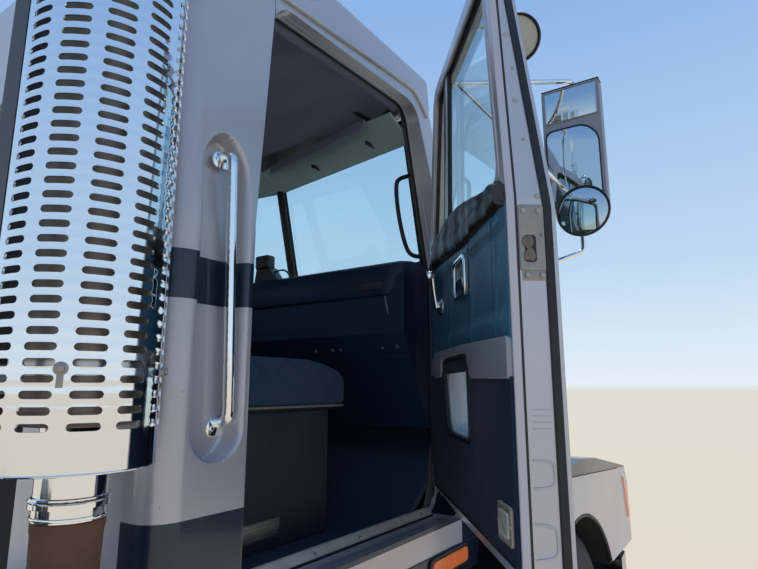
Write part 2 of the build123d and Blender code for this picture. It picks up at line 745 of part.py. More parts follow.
seat_y = (-560, 520)
seat_x = (850, 1385)
seat_base_front = 1278
cushion_z = (1600, 1752)
cushion_half = 225
with BuildPart() as seat_bases:
    for y in seat_y:
        block((seat_x[0] + 40, seat_base_front), (y - 190, y + 190), (floor_z, cushion_z[0]))
keep(seat_bases.part, "seat_bases")
cushions = []
backs = []
for y in seat_y:
    with BuildPart() as cushion:
        block(seat_x, (y - cushion_half, y + cushion_half), cushion_z)
        fillet(cushion.edges().filter_by(Axis.Z), 60)
        fillet(cushion.faces().sort_by(Axis.Z)[-1].edges(), 45)
    cushions += cushion.part.solids()
    with BuildPart() as back:
        side_prism([(seat_x[0] - 60, cushion_z[0] - 30), (seat_x[0] - 0.3, cushion_z[0] - 30),
                    (seat_x[0] - 0.3, 1760), (seat_x[0] - 70, 2330),
                    (seat_x[0] - 180, 2330), (seat_x[0] - 130, 1700)],
                   (y - cushion_half + 5, y + cushion_half - 5))
        fillet(back.edges().filter_by(Axis.Y).group_by(Axis.Z)[-1], 40)
    backs += back.part.solids()
keep(Compound(children=cushions), "seat_cushions")
keep(Compound(children=backs), "seat_backs")

wheel_centre = Vector(1290, seat_y[1], 2020)
column_lean = 40
column_dir = Vector(-math.sin(math.radians(column_lean)), 0, math.cos(math.radians(column_lean)))
steering_radius = 225
with BuildPart() as steering_wheel:
    rim_start = wheel_centre + Vector(0, steering_radius, 0)
    with BuildSketch(Plane(origin=rim_start, x_dir=(0, 1, 0), z_dir=(1, 0, 0))):
        Circle(15)
    revolve(axis=Axis(wheel_centre, column_dir))
    with BuildSketch(Plane(origin=wheel_centre - column_dir * 40, x_dir=(0, 1, 0), z_dir=column_dir)):
        Circle(55)
    extrude(amount=45)
    for turn in (90, 210, 330):
        arm = Vector(0, 1, 0).rotate(Axis((0, 0, 0), column_dir), turn - 90)
        rod(wheel_centre - column_dir * 18 + arm * 40, wheel_centre + arm * (steering_radius - 4), 11)
keep(steering_wheel.part, "steering_wheel")
with BuildPart() as steering_column:
    start = wheel_centre - column_dir * 41
    rod(start, start - column_dir * 270, 38)
    add(dashboard.part, mode=Mode.SUBTRACT)
keep(steering_column.part, "steering_column")

# Exhaust: stack pipe, muffler, heat shield and the post that carries them
pipe_low_z = 630
pipe_y = -280
pipe_radius = stack_radius - 3
pipe_route = [(stack_x, stack_y, sleeve_bottom_z), (stack_x, stack_y, pipe_low_z),
              (stack_x, pipe_y, pipe_low_z), (1480, pipe_y, pipe_low_z), (1850, pipe_y, 762)]
with BuildPart() as exhaust_pipe:
    for k in range(len(pipe_route) - 1):
        rod(pipe_route[k], pipe_route[k + 1], pipe_radius)
        if k:
            with Locations(pipe_route[k]):
                Sphere(pipe_radius)
    block((1850, 1950), (pipe_y - 100, pipe_y + 100), (650, 900), Mode.SUBTRACT)
keep(exhaust_pipe.part, "exhaust_pipe")
with BuildPart() as exhaust_stack:
    rod((stack_x, stack_y, sleeve_bottom_z), (stack_x, stack_y, shield_bottom_z + 60), stack_radius)
    rod((stack_x, stack_y, shield_top_z - 60), (stack_x, stack_y, stack_top_z), stack_radius)
    rod((stack_x, stack_y, shield_top_z), (stack_x, stack_y, stack_top_z + 10), stack_radius - 4,
        Mode.SUBTRACT)
    with Locations((stack_x, stack_y, sleeve_bottom_z + 26)):
        Cylinder(stack_radius + 5, 14)
keep(exhaust_stack.part, "exhaust_stack")
with BuildPart() as muffler:
    rod((stack_x, stack_y, shield_bottom_z + 60), (stack_x, stack_y, shield_top_z - 60), muffler_radius)
    fillet(muffler.edges().filter_by(GeomType.CIRCLE), 25)
keep(muffler.part, "muffler")
with BuildPart() as heat_shield:
    with BuildSketch(Plane.XY.offset(shield_bottom_z)):
        with Locations((stack_x, stack_y)):
            Circle(shield_radius)
            Circle(shield_radius - shield_wall, mode=Mode.SUBTRACT)
        with BuildLine():
            Polyline((stack_x, stack_y), *[(stack_x + 2 * shield_radius * math.cos(math.radians(a)),
                                            stack_y + 2 * shield_radius * math.sin(math.radians(a)))
                                           for a in shield_opening_deg], close=True)
        make_face(mode=Mode.SUBTRACT)
    extrude(amount=shield_top_z - shield_bottom_z)
    for z in (shield_bottom_z + 260, shield_top_z - 260):
        with Locations((stack_x, stack_y, z)):
            Cylinder(muffler_radius + 8, 30)
            Cylinder(muffler_radius, 30, mode=Mode.SUBTRACT)
        for angle in (190, 260, 330):
            spoke = Vector(math.cos(math.radians(angle)), math.sin(math.radians(angle)), 0)
            centre = Vector(stack_x, stack_y, z)
            rod(centre + spoke * (muffler_radius + 2), centre + spoke * (shield_radius - 1), 10)
keep(heat_shield.part, "heat_shield")
with BuildPart() as exhaust_mount:
    block((stack_x - 40, stack_x + 40), (-760, -690), (frame_top + 4, 2700))
    block((stack_x - 40, stack_x + 40), (-760, -rail_outside / 2 + rail_flange), (frame_top, frame_top + 40))
    for z in (1650, 2640):
        block((stack_x - 30, stack_x + 30), (stack_y + muffler_radius - 1, -760), (z, z + 50))
        with Locations((stack_x, stack_y, z + 25)):
            Cylinder(muffler_radius, 60, mode=Mode.SUBTRACT)
keep(exhaust_mount.part, "exhaust_mount")

# Fifth wheel: bracket base on the rails and the tilting plate
pivot_pin = 25
with BuildPart() as fifth_wheel_base:
    block((fifth_x - 420, fifth_x + 420), (-rail_outside / 2, rail_outside / 2), (frame_top, frame_top + 16))
    for side in (-1, 1):
        y = side * 330
        side_prism([(fifth_x - 160, frame_top + 16), (fifth_x + 160, frame_top + 16),
                    (fifth_x + 28, fifth_pivot_z + 30), (fifth_x - 28, fifth_pivot_z + 30)],
                   (y - 22, y + 22))
        rod((fifth_x, y - 60, fifth_pivot_z), (fifth_x, y + 60, fifth_pivot_z), pivot_pin)
keep(fifth_wheel_base.part, "fifth_wheel_base")
throat = 60
with BuildPart() as fifth_wheel_plate:
    plan_prism([(fifth_x + 430, -300), (fifth_x + 430, 300), (fifth_x + 260, 470), (fifth_x - 180, 470),
                (fifth_x - 470, 330), (fifth_x - 470, 190), (fifth_x - throat, 30), (fifth_x - throat, -30),
                (fifth_x - 470, -190), (fifth_x - 470, -330), (fifth_x - 180, -470), (fifth_x + 260, -470)],
               (fifth_plate_top - fifth_plate_thick, fifth_plate_top))
    with Locations((fifth_x, 0, fifth_plate_top)):
        Cylinder(kingpin_bore, 2 * fifth_plate_thick, mode=Mode.SUBTRACT)
    for side in (-1, 1):
        for y in (side * 290, side * 372):
            side_prism([(fifth_x - 60, fifth_plate_top - fifth_plate_thick),
                        (fifth_x + 60, fifth_plate_top - fifth_plate_thick),
                        (fifth_x + 34, fifth_pivot_z - 34), (fifth_x - 34, fifth_pivot_z - 34)],
                       (y - 12, y + 12))
        rod((fifth_x, side * 331 - 80, fifth_pivot_z), (fifth_x, side * 331 + 80, fifth_pivot_z),
            pivot_pin + bearing_gap, Mode.SUBTRACT)
keep(fifth_wheel_plate.part, "fifth_wheel_plate")

# Mud flaps and rear lamps on one bar at the end of the frame
with BuildPart() as rear_lamp_bar:
    block((rear_x + 10, rear_x + 60), (-1180, -rail_outside / 2), (860, 940))
    block((rear_x + 10, rear_x + 60), (rail_outside / 2, 1180), (860, 940))
    for side in (-1, 1):
        block((rear_x + 25, rear_x + 33), sorted((side * 590, side * 1190)), (300, 860))
        for y in (680, 800):
            with Locations(Location((rear_x + 6, side * y, 900), (0, 90, 0))):
                Cylinder(50, 12)
keep(rear_lamp_bar.part, "rear_lamp_bar")


# Hood: the bonnet and fenders are one tilting shell, open below and behind
def hood_form(inset):
    """The hood's outer form, or with an inset the hollow inside it."""
    front = hood_front_x - inset
    rear = hood_rear_x if inset == 0 else hood_rear_x - 20
    tail = fender_rear_x if inset == 0 else fender_rear_x - 20
    low = fender_bottom_z if inset == 0 else fender_bottom_z - 20
    with BuildPart() as form:
        with BuildSketch(Plane.YZ.offset(rear)):
            with Locations((0, (2040 - inset + 1100) / 2)):
                Rectangle(2 * (900 - inset), 2040 - inset - 1100)
        with BuildSketch(Plane.YZ.offset(front - 60)):
            with Locations((0, (1540 - inset + 1100) / 2)):
                Rectangle(2 * (640 - inset), 1540 - inset - 1100)
        loft(ruled=True)
        top = form.faces().sort_by(Axis.Z)[-1]
        fillet(top.edges().filter_by(lambda e: abs(e.tangent_at(0.5).X) > 0.5), 90 - inset)
        for side in (-1, 1):
            with BuildSketch(side_plane(max(side * fender_inner_y, side * (fender_half_width - inset)))):
                with BuildLine():
                    Polyline((tail, low), (front, low), (front, 1120), (front - 60, 1225 - inset),
                             (front - 700, 1330 - inset), (2500, 1350 - inset), (1980, 1300 - inset),
                             (tail, 1190 - inset), close=True)
                make_face()
            extrude(amount=fender_half_width - inset - fender_inner_y)
        block((front - 500, front), (-fender_inner_y, fender_inner_y), (low, 1200))
    return form.part


grille_half = 560
grille_z = (900, 1440)
lamp_y = (680, 1060)
lamp_z = (930, 1110)
fit = 0.3
with BuildPart() as hood_shell:
    add(hood_form(0))
    add(hood_form(hood_wall), mode=Mode.SUBTRACT)
    for side in (-1, 1):
        with Locations(Location((front_axle_x, side * 1000, tyre_radius), (90, 0, 0))):
            Cylinder(arch_radius, 900, mode=Mode.SUBTRACT)
    block((hood_front_x - 160, hood_front_x + 10), (-grille_half, grille_half), grille_z, Mode.SUBTRACT)
    block((hood_front_x - 520, hood_front_x + 10), (-fender_inner_y + 20, fender_inner_y - 20),
          (700, 868), Mode.SUBTRACT)
    for side in (-1, 1):
        y = side * (bracket_y + bracket_thick / 2 + 2 + ear_thick / 2)
        side_prism([(hood_pivot_x - 20, hood_pivot_z - 24), (hood_pivot_x + 18, hood_pivot_z - 24),
                    (hood_front_x, 868), (hood_front_x, 900), (hood_front_x - 60, 900),
                    (hood_pivot_x - 26, hood_pivot_z)], (y - ear_thick / 2, y + ear_thick / 2))
        rod((hood_pivot_x, y - 40, hood_pivot_z), (hood_pivot_x, y + 40, hood_pivot_z), pin_radius + pin_gap,
            Mode.SUBTRACT)
    for side in (-1, 1):
        block((hood_front_x - 120, hood_front_x + 10), sorted((side * lamp_y[0], side * lamp_y[1])),
              lamp_z, Mode.SUBTRACT)
keep(hood_shell.part, "hood_shell")

# Grille and headlamps in the hood's front
with BuildPart() as grille:
    block((hood_front_x - 70, hood_front_x - 20), (fit - grille_half, grille_half - fit),
          (grille_z[0] + fit, grille_z[1] - fit))
    block((hood_front_x - 80, hood_front_x - 10), (-525, 525), (935, 1405), Mode.SUBTRACT)
    for k in range(7):
        z = 935 + 58.75 * (k + 1)
        block((hood_front_x - 60, hood_front_x - 30), (-526, 526), (z - 9, z + 9))
keep(grille.part, "grille")
lamps = []
for side in (-1, 1):
    with BuildPart() as lamp:
        block((hood_front_x - 100, hood_front_x - 12),
              sorted((side * (lamp_y[0] + fit), side * (lamp_y[1] - fit))),
              (lamp_z[0] + fit, lamp_z[1] - fit))
        fillet(lamp.edges().filter_by(Axis.X), 20)
    lamps += lamp.part.solids()
keep(Compound(children=lamps), "headlamps")


# Doors: one thick shell each, with the glass, the inner trim and the mirror
def window_face(depth, with_peep):
    """Side-view face of the door's openings, at a depth inside the outer skin."""
    with BuildSketch(side_plane(-cab_half_width + depth)) as face:
        with BuildLine():
            Polyline(*window_outline, close=True)
        make_face()
        fillet(face.vertices(), window_corner)
        if with_peep:
            with Locations((sum(peep_x) / 2, sum(peep_z) / 2)):
                RectangleRounded(peep_x[1] - peep_x[0], peep_z[1] - peep_z[0], window_corner)
    return face.sketch


def door_shell(with_peep):
    """The right door as it stands when shut, with its hinge barrels."""
    with BuildPart() as shell:
        add(extrude(door_face(0).moved(Location((0, -cab_half_width + door_thick, 0))), amount=door_thick,
                    mode=Mode.PRIVATE))
        lean_back()
        extrude(window_face(door_thick + 5, with_peep), amount=door_thick + 10, mode=Mode.SUBTRACT)
        with BuildSketch(Plane.YZ.offset(door_rear_x - 5)):
            with BuildLine():
                Polyline((-cab_half_width + door_lip, door_sill_z - 5),
                         (-cab_half_width + door_lip, door_sill_z),
                         (-cab_half_width + door_thick, door_inner_sill_z),
                         (-cab_half_width + door_thick + 5, door_inner_sill_z),
                         (-cab_half_width + door_thick + 5, door_sill_z - 5), close=True)
            make_face()
        extrude(amount=door_front_x - door_rear_x + 10, mode=Mode.SUBTRACT)
        for z in hinge_z:
            block((hinge_x - 65, hinge_x - 5), (-cab_half_width - hinge_leaf, -cab_half_width),
                  (z - 19.4, z + 19.4))
            with Locations((hinge_x, -hinge_y, z)):
                Cylinder(barrel_radius, 38.8)
                Cylinder(hinge_pin_radius + bearing_gap, 60, mode=Mode.SUBTRACT)
    return shell.part


def door_glass(with_peep):
    """Window glass, and the low pane in the right door."""
    with BuildPart() as glass:
        extrude(window_face(glass_depth, with_peep), amount=glass_thick)
    return glass.part


# The mirror head on the shut right door, and where its arms stand on the door
mirror_at = (1573, -1458)
mirror_z = (2307, 2788)
mirror_width = 212
mirror_depth = 46
mirror_corner = 16
mirror_toe_deg = {"right": 38, "left": 22}
tube_radius = 9.5
tube_z = (2150, 2828)
arm_foot_high = (1350, -987, 2645)
arm_foot_low = (1475, -1034, 1965)
round_mirror_radius = 93
round_mirror_z = 2276
look_down_at = (1050, -1088, 2607)
look_down_radius = 64


def door_mirror(word, shell):
    """Tall mirror with its round mirror and tubes, on the shut right door."""
    toe = math.radians(mirror_toe_deg[word])
    facing = Vector(-math.cos(toe), math.sin(toe), 0)
    across = Vector(math.sin(toe), math.cos(toe), 0)
    centre = Vector(*mirror_at, sum(mirror_z) / 2)
    with BuildPart() as mirrors:
        with BuildSketch(Plane(origin=centre, x_dir=across, z_dir=facing * -1)) as head:
            RectangleRounded(mirror_width, mirror_z[1] - mirror_z[0], mirror_corner)
        extrude(head.sketch, amount=mirror_depth)
        low = Vector(*mirror_at, round_mirror_z) - across * 28 + facing * 26
        rod(low, low + facing * 16, round_mirror_radius)
        post = Vector(*mirror_at, 0) - facing * (mirror_depth + tube_radius - 4)
        rod(Vector(post.X, post.Y, round_mirror_z), low + facing * 2, 11)
        ends = [Vector(post.X, post.Y, z) for z in tube_z]
        rod(ends[0], ends[1], tube_radius)
        for end, foot in zip(ends, (arm_foot_low, arm_foot_high)):
            rod(end, foot, tube_radius)
            skin_y = -cab_half_width + lean_slope * max(foot[2] - lean_z, 0) + 3
            rod(foot, (foot[0], skin_y, foot[2]), 15)
            for joint in (end, foot):
                with Locations(joint):
                    Sphere(tube_radius + 1)
        rod(arm_foot_high, Vector(post.X, post.Y, mirror_z[0] + 20), tube_radius - 2)
        if word == "right":
            dish = Vector(-0.70, 0.45, -0.55).normalized()
            spot = Vector(*look_down_at)
            rod(spot, spot + dish * 30, look_down_radius)
            rod(spot, (look_down_at[0] + 30, -cab_half_width + lean_slope * 655 + 2, 2655), 8)
        add(shell, mode=Mode.SUBTRACT)
    return mirrors.part


right_door = door_shell(True)
left_door = door_shell(False)
keep(door_swing(right_door), "door_shell_right")
keep(door_swing(door_glass(True)), "door_glass_right")
keep(door_swing(door_mirror("right", right_door)), "mirror_right")
keep(other_side(left_door), "door_shell_left")
keep(other_side(door_glass(False)), "door_glass_left")
keep(other_side(door_mirror("left", left_door)), "mirror_left")

os.makedirs("parts", exist_ok=True)
for node in nodes:
    export_step(node, f"parts/{node.label}.step")
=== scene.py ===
"""Looks of a day-cab tractor unit: materials, trim, doors, seats, glass, wheels and the stage."""

import logging
import math
from dataclasses import dataclass, field
from enum import Enum
from functools import cache
from typing import Callable, Iterable, Optional, Sequence

import bmesh
import bpy
import numpy as np
from mathutils import Matrix, Vector


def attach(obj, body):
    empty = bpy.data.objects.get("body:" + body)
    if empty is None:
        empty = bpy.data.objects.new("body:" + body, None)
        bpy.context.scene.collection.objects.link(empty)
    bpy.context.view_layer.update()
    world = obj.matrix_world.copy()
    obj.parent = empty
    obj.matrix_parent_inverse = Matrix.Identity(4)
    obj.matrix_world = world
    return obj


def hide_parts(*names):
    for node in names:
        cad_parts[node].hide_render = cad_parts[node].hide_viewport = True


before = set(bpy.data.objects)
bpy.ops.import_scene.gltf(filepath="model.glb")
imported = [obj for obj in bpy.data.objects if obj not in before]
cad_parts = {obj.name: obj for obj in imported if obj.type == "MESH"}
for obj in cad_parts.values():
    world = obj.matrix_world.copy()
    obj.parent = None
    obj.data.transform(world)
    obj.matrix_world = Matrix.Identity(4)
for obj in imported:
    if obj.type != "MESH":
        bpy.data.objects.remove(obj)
log = logging.getLogger("tractor")
Point = Sequence[float]

HINGE = Vector((1.665, -1.030, 0.0))
DOOR_OPEN = math.radians(38)
SKIN_Y = 1.020  # how far out the cab's skin is below LEAN_Z; above it the skin leans in
LEAN_Z = 2.0
LEAN = 0.075
SILL_Z = 1.235
STACK = (0.335, -1.030)
AXLE_Z = 0.520
STEER_X, FORWARD_X, REARWARD_X = 2.425, -1.365, -2.685
COUPLING_X = -1.880
REAR_X = -3.460


class Side(Enum):
    """Which side of the vehicle a mirrored piece is on."""

    RIGHT = "right"
    LEFT = "left"

    @property
    def sign(self) -> int:
        """-1 on the right, 1 on the left."""
        return -1 if self is Side.RIGHT else 1


# ---------------------------------------------------------------- modelling moves
class Shop:
    """Modelling moves: each gives one new mesh object, standing at the origin."""

    @staticmethod
    def clear() -> None:
        """Leave nothing selected."""
        if bpy.context.object and bpy.context.object.mode != "OBJECT":
            bpy.ops.object.mode_set(mode="OBJECT")
        for one in list(bpy.context.selected_objects):
            one.select_set(False)

    @staticmethod
    def pick(piece: bpy.types.Object) -> bpy.types.Object:
        """Make one piece the only one selected.

        Args:
            piece: the mesh object.

        Returns:
            The same object.
        """
        Shop.clear()
        piece.select_set(True)
        bpy.context.view_layer.objects.active = piece
        return piece

    @staticmethod
    def settle(piece: bpy.types.Object) -> bpy.types.Object:
        """Put the place, turn and scale of a piece into its mesh."""
        Shop.pick(piece)
        bpy.ops.object.transform_apply(location=True, rotation=True, scale=True)
        return piece

    @staticmethod
    def modify(piece: bpy.types.Object, kind: str, **values: object) -> bpy.types.Object:
        """Add one modifier and apply it.

        Args:
            piece: the mesh object.
            kind: the modifier's type.
            **values: its settings.

        Returns:
            The same object.
        """
        Shop.pick(piece)
        modifier = piece.modifiers.new(kind.lower(), kind)
        for key, value in values.items():
            setattr(modifier, key, value)
        bpy.ops.object.modifier_apply(modifier=modifier.name)
        return piece

    @staticmethod
    def bevel(piece: bpy.types.Object, width: float, segments: int = 2, angle: float = 30) -> bpy.types.Object:
        """Round the edges sharper than an angle, in metres and degrees."""
        if width <= 0:
            return piece
        return Shop.modify(piece, "BEVEL", width=width, segments=segments, limit_method="ANGLE",
                           angle_limit=math.radians(angle), use_clamp_overlap=True)

    @staticmethod
    def smooth(piece: bpy.types.Object, angle: float = 32) -> bpy.types.Object:
        """Shade a piece smooth, with edges above an angle left sharp."""
        Shop.pick(piece)
        bpy.ops.object.shade_smooth_by_angle(angle=math.radians(angle))
        return piece

    @staticmethod
    def box(low: Point, high: Point, round_by: float = 0.002, segments: int = 2) -> bpy.types.Object:
        """A block between two corners with rounded edges."""
        Shop.clear()
        middle = [(a + b) / 2 for a, b in zip(low, high)]
        size = [abs(b - a) for a, b in zip(low, high)]
        bpy.ops.mesh.primitive_cube_add(size=1, location=middle)
        piece = bpy.context.object
        piece.scale = size
        Shop.settle(piece)
        return Shop.bevel(piece, min(round_by, min(size) * 0.45), segments)

    @staticmethod
    def rod(start: Point, end: Point, radius: float, sides: int = 20, round_by: float = 0.0) -> bpy.types.Object:
        """A round bar between two points, its ends rounded off.

        Args:
            start: one end.
            end: the other end.
            radius: its radius.
            sides: faces round it.
            round_by: how far its end edges are rounded.

        Returns:
            The new object.
        """
        Shop.clear()
        a, b = Vector(start), Vector(end)
        run = b - a
        bpy.ops.mesh.primitive_cylinder_add(vertices=sides, radius=radius, depth=run.length, location=(a + b) / 2)
        piece = bpy.context.object
        piece.rotation_euler = run.to_track_quat("Z", "Y").to_euler()
        Shop.settle(piece)
        return Shop.bevel(piece, round_by or min(radius * 0.25, 0.002), 2, 50)

    @staticmethod
    def plate(outline: Sequence[Point], depth: Point, round_by: float = 0.0015, segments: int = 2) -> bpy.types.Object:
        """An outline of points in space, extruded along a vector.

        Args:
            outline: the points round it.
            depth: the way and distance of the extrusion.
            round_by: how far the edges are rounded.
            segments: steps of the rounding.

        Returns:
            The new object.
        """
        Shop.clear()
        bpy.ops.mesh.primitive_circle_add(vertices=len(outline), radius=1, fill_type="NGON")
        piece = bpy.context.object
        for vertex, place in zip(piece.data.vertices, outline):
            vertex.co = place
        bpy.ops.object.mode_set(mode="EDIT")
        return Shop.extrude(piece, depth, round_by, segments)

    @staticmethod
    def extrude(piece: bpy.types.Object, depth: Point, round_by: float, segments: int) -> bpy.types.Object:
        """Extrude all faces of a piece in edit mode, turn them outwards and round the edges."""
        bpy.ops.mesh.select_all(action="SELECT")
        bpy.ops.mesh.extrude_region_move(TRANSFORM_OT_translate={"value": tuple(depth)})
        bpy.ops.mesh.select_all(action="SELECT")
        bpy.ops.mesh.normals_make_consistent(inside=False)
        bpy.ops.object.mode_set(mode="OBJECT")
        return Shop.bevel(piece, round_by, segments)

    @staticmethod
    def lathe(profile: Sequence[Point], centre: Point, axis: Point, steps: int = 48,
              closed: bool = False) -> bpy.types.Object:
        """A profile of (radius, height) points spun round an axis.

        Args:
            profile: the points, from one end to the other.
            centre: where height 0 is on the axis.
            axis: the axis, up the heights.
            steps: faces round it.
            closed: whether the profile joins up with itself.

        Returns:
            The new object.
        """
        Shop.clear()
        bpy.ops.mesh.primitive_circle_add(vertices=len(profile), radius=1, fill_type="NOTHING")
        piece = bpy.context.object
        for vertex, (radius, height) in zip(piece.data.vertices, profile):
            vertex.co = (radius, 0, height)
        bpy.ops.object.mode_set(mode="EDIT")
        if not closed:
            mesh = bmesh.from_edit_mesh(piece.data)
            mesh.verts.ensure_lookup_table()
            ends = {mesh.verts[0], mesh.verts[len(profile) - 1]}
            last = [e for e in mesh.edges if set(e.verts) == ends]
            bmesh.ops.delete(mesh, geom=last, context="EDGES")
            bmesh.update_edit_mesh(piece.data)
        bpy.ops.mesh.select_all(action="SELECT")
        bpy.ops.mesh.spin(steps=steps, angle=2 * math.pi, center=(0, 0, 0), axis=(0, 0, 1))
        Shop.tidy(piece)
        piece.rotation_euler = Vector(axis).to_track_quat("Z", "Y").to_euler()
        piece.location = centre
        return Shop.settle(piece)

    @staticmethod
    def sweep(points: Sequence[Point], radius: float, sides: int = 8, closed: bool = False,
              soft: bool = True) -> bpy.types.Object:
        """A round bar bent along a smooth line through points.

        Args:
            points: the line's control points.
            radius: the bar's radius.
            sides: faces round it, in steps of four.
            closed: whether the line is a loop.
            soft: a smooth curve, or else straight runs.

        Returns:
            The new object.
        """
        Shop.clear()
        data = bpy.data.curves.new("route", "CURVE")
        data.dimensions = "3D"
        line = data.splines.new("NURBS" if soft else "POLY")
        line.points.add(len(points) - 1)
        for knot, place in zip(line.points, points):
            knot.co = (*place, 1)
        line.use_cyclic_u = closed
        if soft:
            line.order_u = 3
            line.use_endpoint_u = not closed
            line.resolution_u = 6
        data.bevel_depth = radius
        data.bevel_resolution = max(0, sides // 4)
        data.use_fill_caps = True
        piece = bpy.data.objects.new("route", data)
        bpy.context.scene.collection.objects.link(piece)
        Shop.pick(piece)
        bpy.ops.object.convert(target="MESH")
        return bpy.context.object

    @staticmethod
    def mesh(name: str, points: Iterable[Point], faces: Iterable[Sequence[int]],
             edges: Sequence[Sequence[int]] = ()) -> bpy.types.Object:
        """A piece from points, faces and loose edges worked out in code."""
        data = bpy.data.meshes.new(name)
        data.from_pydata([tuple(map(float, p)) for p in points], edges, [tuple(f) for f in faces])
        data.validate()
        piece = bpy.data.objects.new(name, data)
        bpy.context.scene.collection.objects.link(piece)
        return piece

    @staticmethod
    def tidy(piece: bpy.types.Object) -> bpy.types.Object:
        """Merge doubles and turn the faces outwards."""
        Shop.pick(piece)
        bpy.ops.object.mode_set(mode="EDIT")
        bpy.ops.mesh.select_all(action="SELECT")
        bpy.ops.mesh.remove_doubles(threshold=1e-5)
        bpy.ops.mesh.select_all(action="SELECT")
        bpy.ops.mesh.normals_make_consistent(inside=False)
        bpy.ops.object.mode_set(mode="OBJECT")
        return piece

    @staticmethod
    def loft(rings: np.ndarray, closed: bool = True, caps: bool = True) -> bpy.types.Object:
        """Rings of points joined by quads.

        Args:
            rings: an array of ring, point, coordinate.
            closed: whether each ring joins up with itself.
            caps: whether the two end rings are filled.

        Returns:
            The new object.
        """
        count, size = rings.shape[:2]
        faces = []
        for i in range(count - 1):
            for j in range(size if closed else size - 1):
                k = (j + 1) % size
                faces.append((i * size + j, i * size + k, (i + 1) * size + k, (i + 1) * size + j))
        if caps and closed:
            faces.append(tuple(range(size))[::-1])
            faces.append(tuple((count - 1) * size + j for j in range(size)))
        return Shop.tidy(Shop.mesh("loft", rings.reshape(-1, 3), faces))

    @staticmethod
    def copy(piece: bpy.types.Object, matrix: Matrix) -> bpy.types.Object:
        """A copy of a piece with its own mesh, moved by a matrix and turned right side out."""
        other = piece.copy()
        other.data = piece.data.copy()
        bpy.context.scene.collection.objects.link(other)
        other.data.transform(matrix)
        if matrix.determinant() < 0:
            other.data.flip_normals()
        return other

    @staticmethod
    def join(pieces: Sequence[bpy.types.Object]) -> bpy.types.Object:
        """Join pieces into the first one."""
        Shop.clear()
        for one in pieces:
            one.select_set(True)
        bpy.context.view_layer.objects.active = pieces[0]
        if len(pieces) > 1:
            bpy.ops.object.join()
        return bpy.context.object

    @staticmethod
    def array(piece: bpy.types.Object, places: Iterable[object]) -> bpy.types.Object:
        """Copies of a piece, moved by each vector or matrix in turn and joined into one."""
        Shop.settle(piece)
        made = [Shop.copy(piece, place if isinstance(place, Matrix) else Matrix.Translation(place))
                for place in places]
        bpy.data.objects.remove(piece)
        return Shop.join(made)

    @staticmethod
    def panel(outline: Sequence[Point], depth: Point, holes: Sequence[Sequence[Point]] = (),
              round_by: float = 0.0015, segments: int = 2) -> bpy.types.Object:
        """A flat outline with holes, filled and extruded along a vector.

        Args:
            outline: the points round it.
            depth: the way and distance of the extrusion.
            holes: the outlines of its holes.
            round_by: how far the edges are rounded.
            segments: steps of the rounding.

        Returns:
            The new object.
        """
        points, edges = [], []
        for loop in (outline, *holes):
            start, count = len(points), len(loop)
            points += list(loop)
            edges += [(start + k, start + (k + 1) % count) for k in range(count)]
        piece = Shop.pick(Shop.mesh("panel", points, (), edges))
        bpy.ops.object.mode_set(mode="EDIT")
        bpy.ops.mesh.select_all(action="SELECT")
        bpy.ops.mesh.fill(use_beauty=True)
        return Shop.extrude(piece, depth, round_by, segments)

    @staticmethod
    def ribbon(path: Sequence[Point], section: Callable) -> bpy.types.Object:
        """A section carried along a path.

        Args:
            path: the stations along it.
            section: gives the closed ring of points at a station.

        Returns:
            The new object.
        """
        return Shop.loft(np.array([section(place) for place in path], float))


def rounded(points: Sequence[Point], radius: float, steps: int = 4) -> list[tuple]:
    """A flat outline with its corners rounded.

    Args:
        points: the corners, in two coordinates.
        radius: how far along each side the rounding starts.
        steps: faces round each corner.

    Returns:
        The points of the rounded outline.
    """
    made, count = [], len(points)
    for k in range(count):
        before, corner, after = (np.array(points[(k + d) % count], float) for d in (-1, 0, 1))
        back, on = before - corner, after - corner
        reach = min(radius, np.linalg.norm(back) * 0.49, np.linalg.norm(on) * 0.49)
        first = corner + back / np.linalg.norm(back) * reach
        last = corner + on / np.linalg.norm(on) * reach
        for t in np.linspace(0, 1, steps + 1):
            made.append(tuple((1 - t) ** 2 * first + 2 * t * (1 - t) * corner + t * t * last))
    return made


def on_y(points: Sequence[Point], y: float) -> list[tuple]:
    """An (x, z) outline at one y."""
    return [(x, y, z) for x, z in points]


def on_x(points: Sequence[Point], x: float) -> list[tuple]:
    """A (y, z) outline at one x."""
    return [(x, y, z) for y, z in points]


def on_z(points: Sequence[Point], z: float) -> list[tuple]:
    """An (x, y) outline at one z."""
    return [(x, y, z) for x, y in points]


def rectangle(low: Point, high: Point) -> list[tuple]:
    """Corners of a rectangle in two coordinates."""
    return [(low[0], low[1]), (high[0], low[1]), (high[0], high[1]), (low[0], high[1])]


def along(table: Sequence[Point], value: float) -> float:
    """Read a smooth line through (at, value) pairs."""
    return float(np.interp(value, [row[0] for row in table], [row[1] for row in table]))


MIRROR = Matrix.Scale(-1, 4, (0, 1, 0))
SWING = Matrix.Translation(HINGE) @ Matrix.Rotation(DOOR_OPEN, 4, "Z") @ Matrix.Translation(-HINGE)


def card(low: Sequence[float], high: Sequence[float], radius: float, steps: int = 4) -> list[tuple]:
    """A rectangle between two corners, with rounded corners."""
    return rounded(rectangle(low, high), radius, steps)


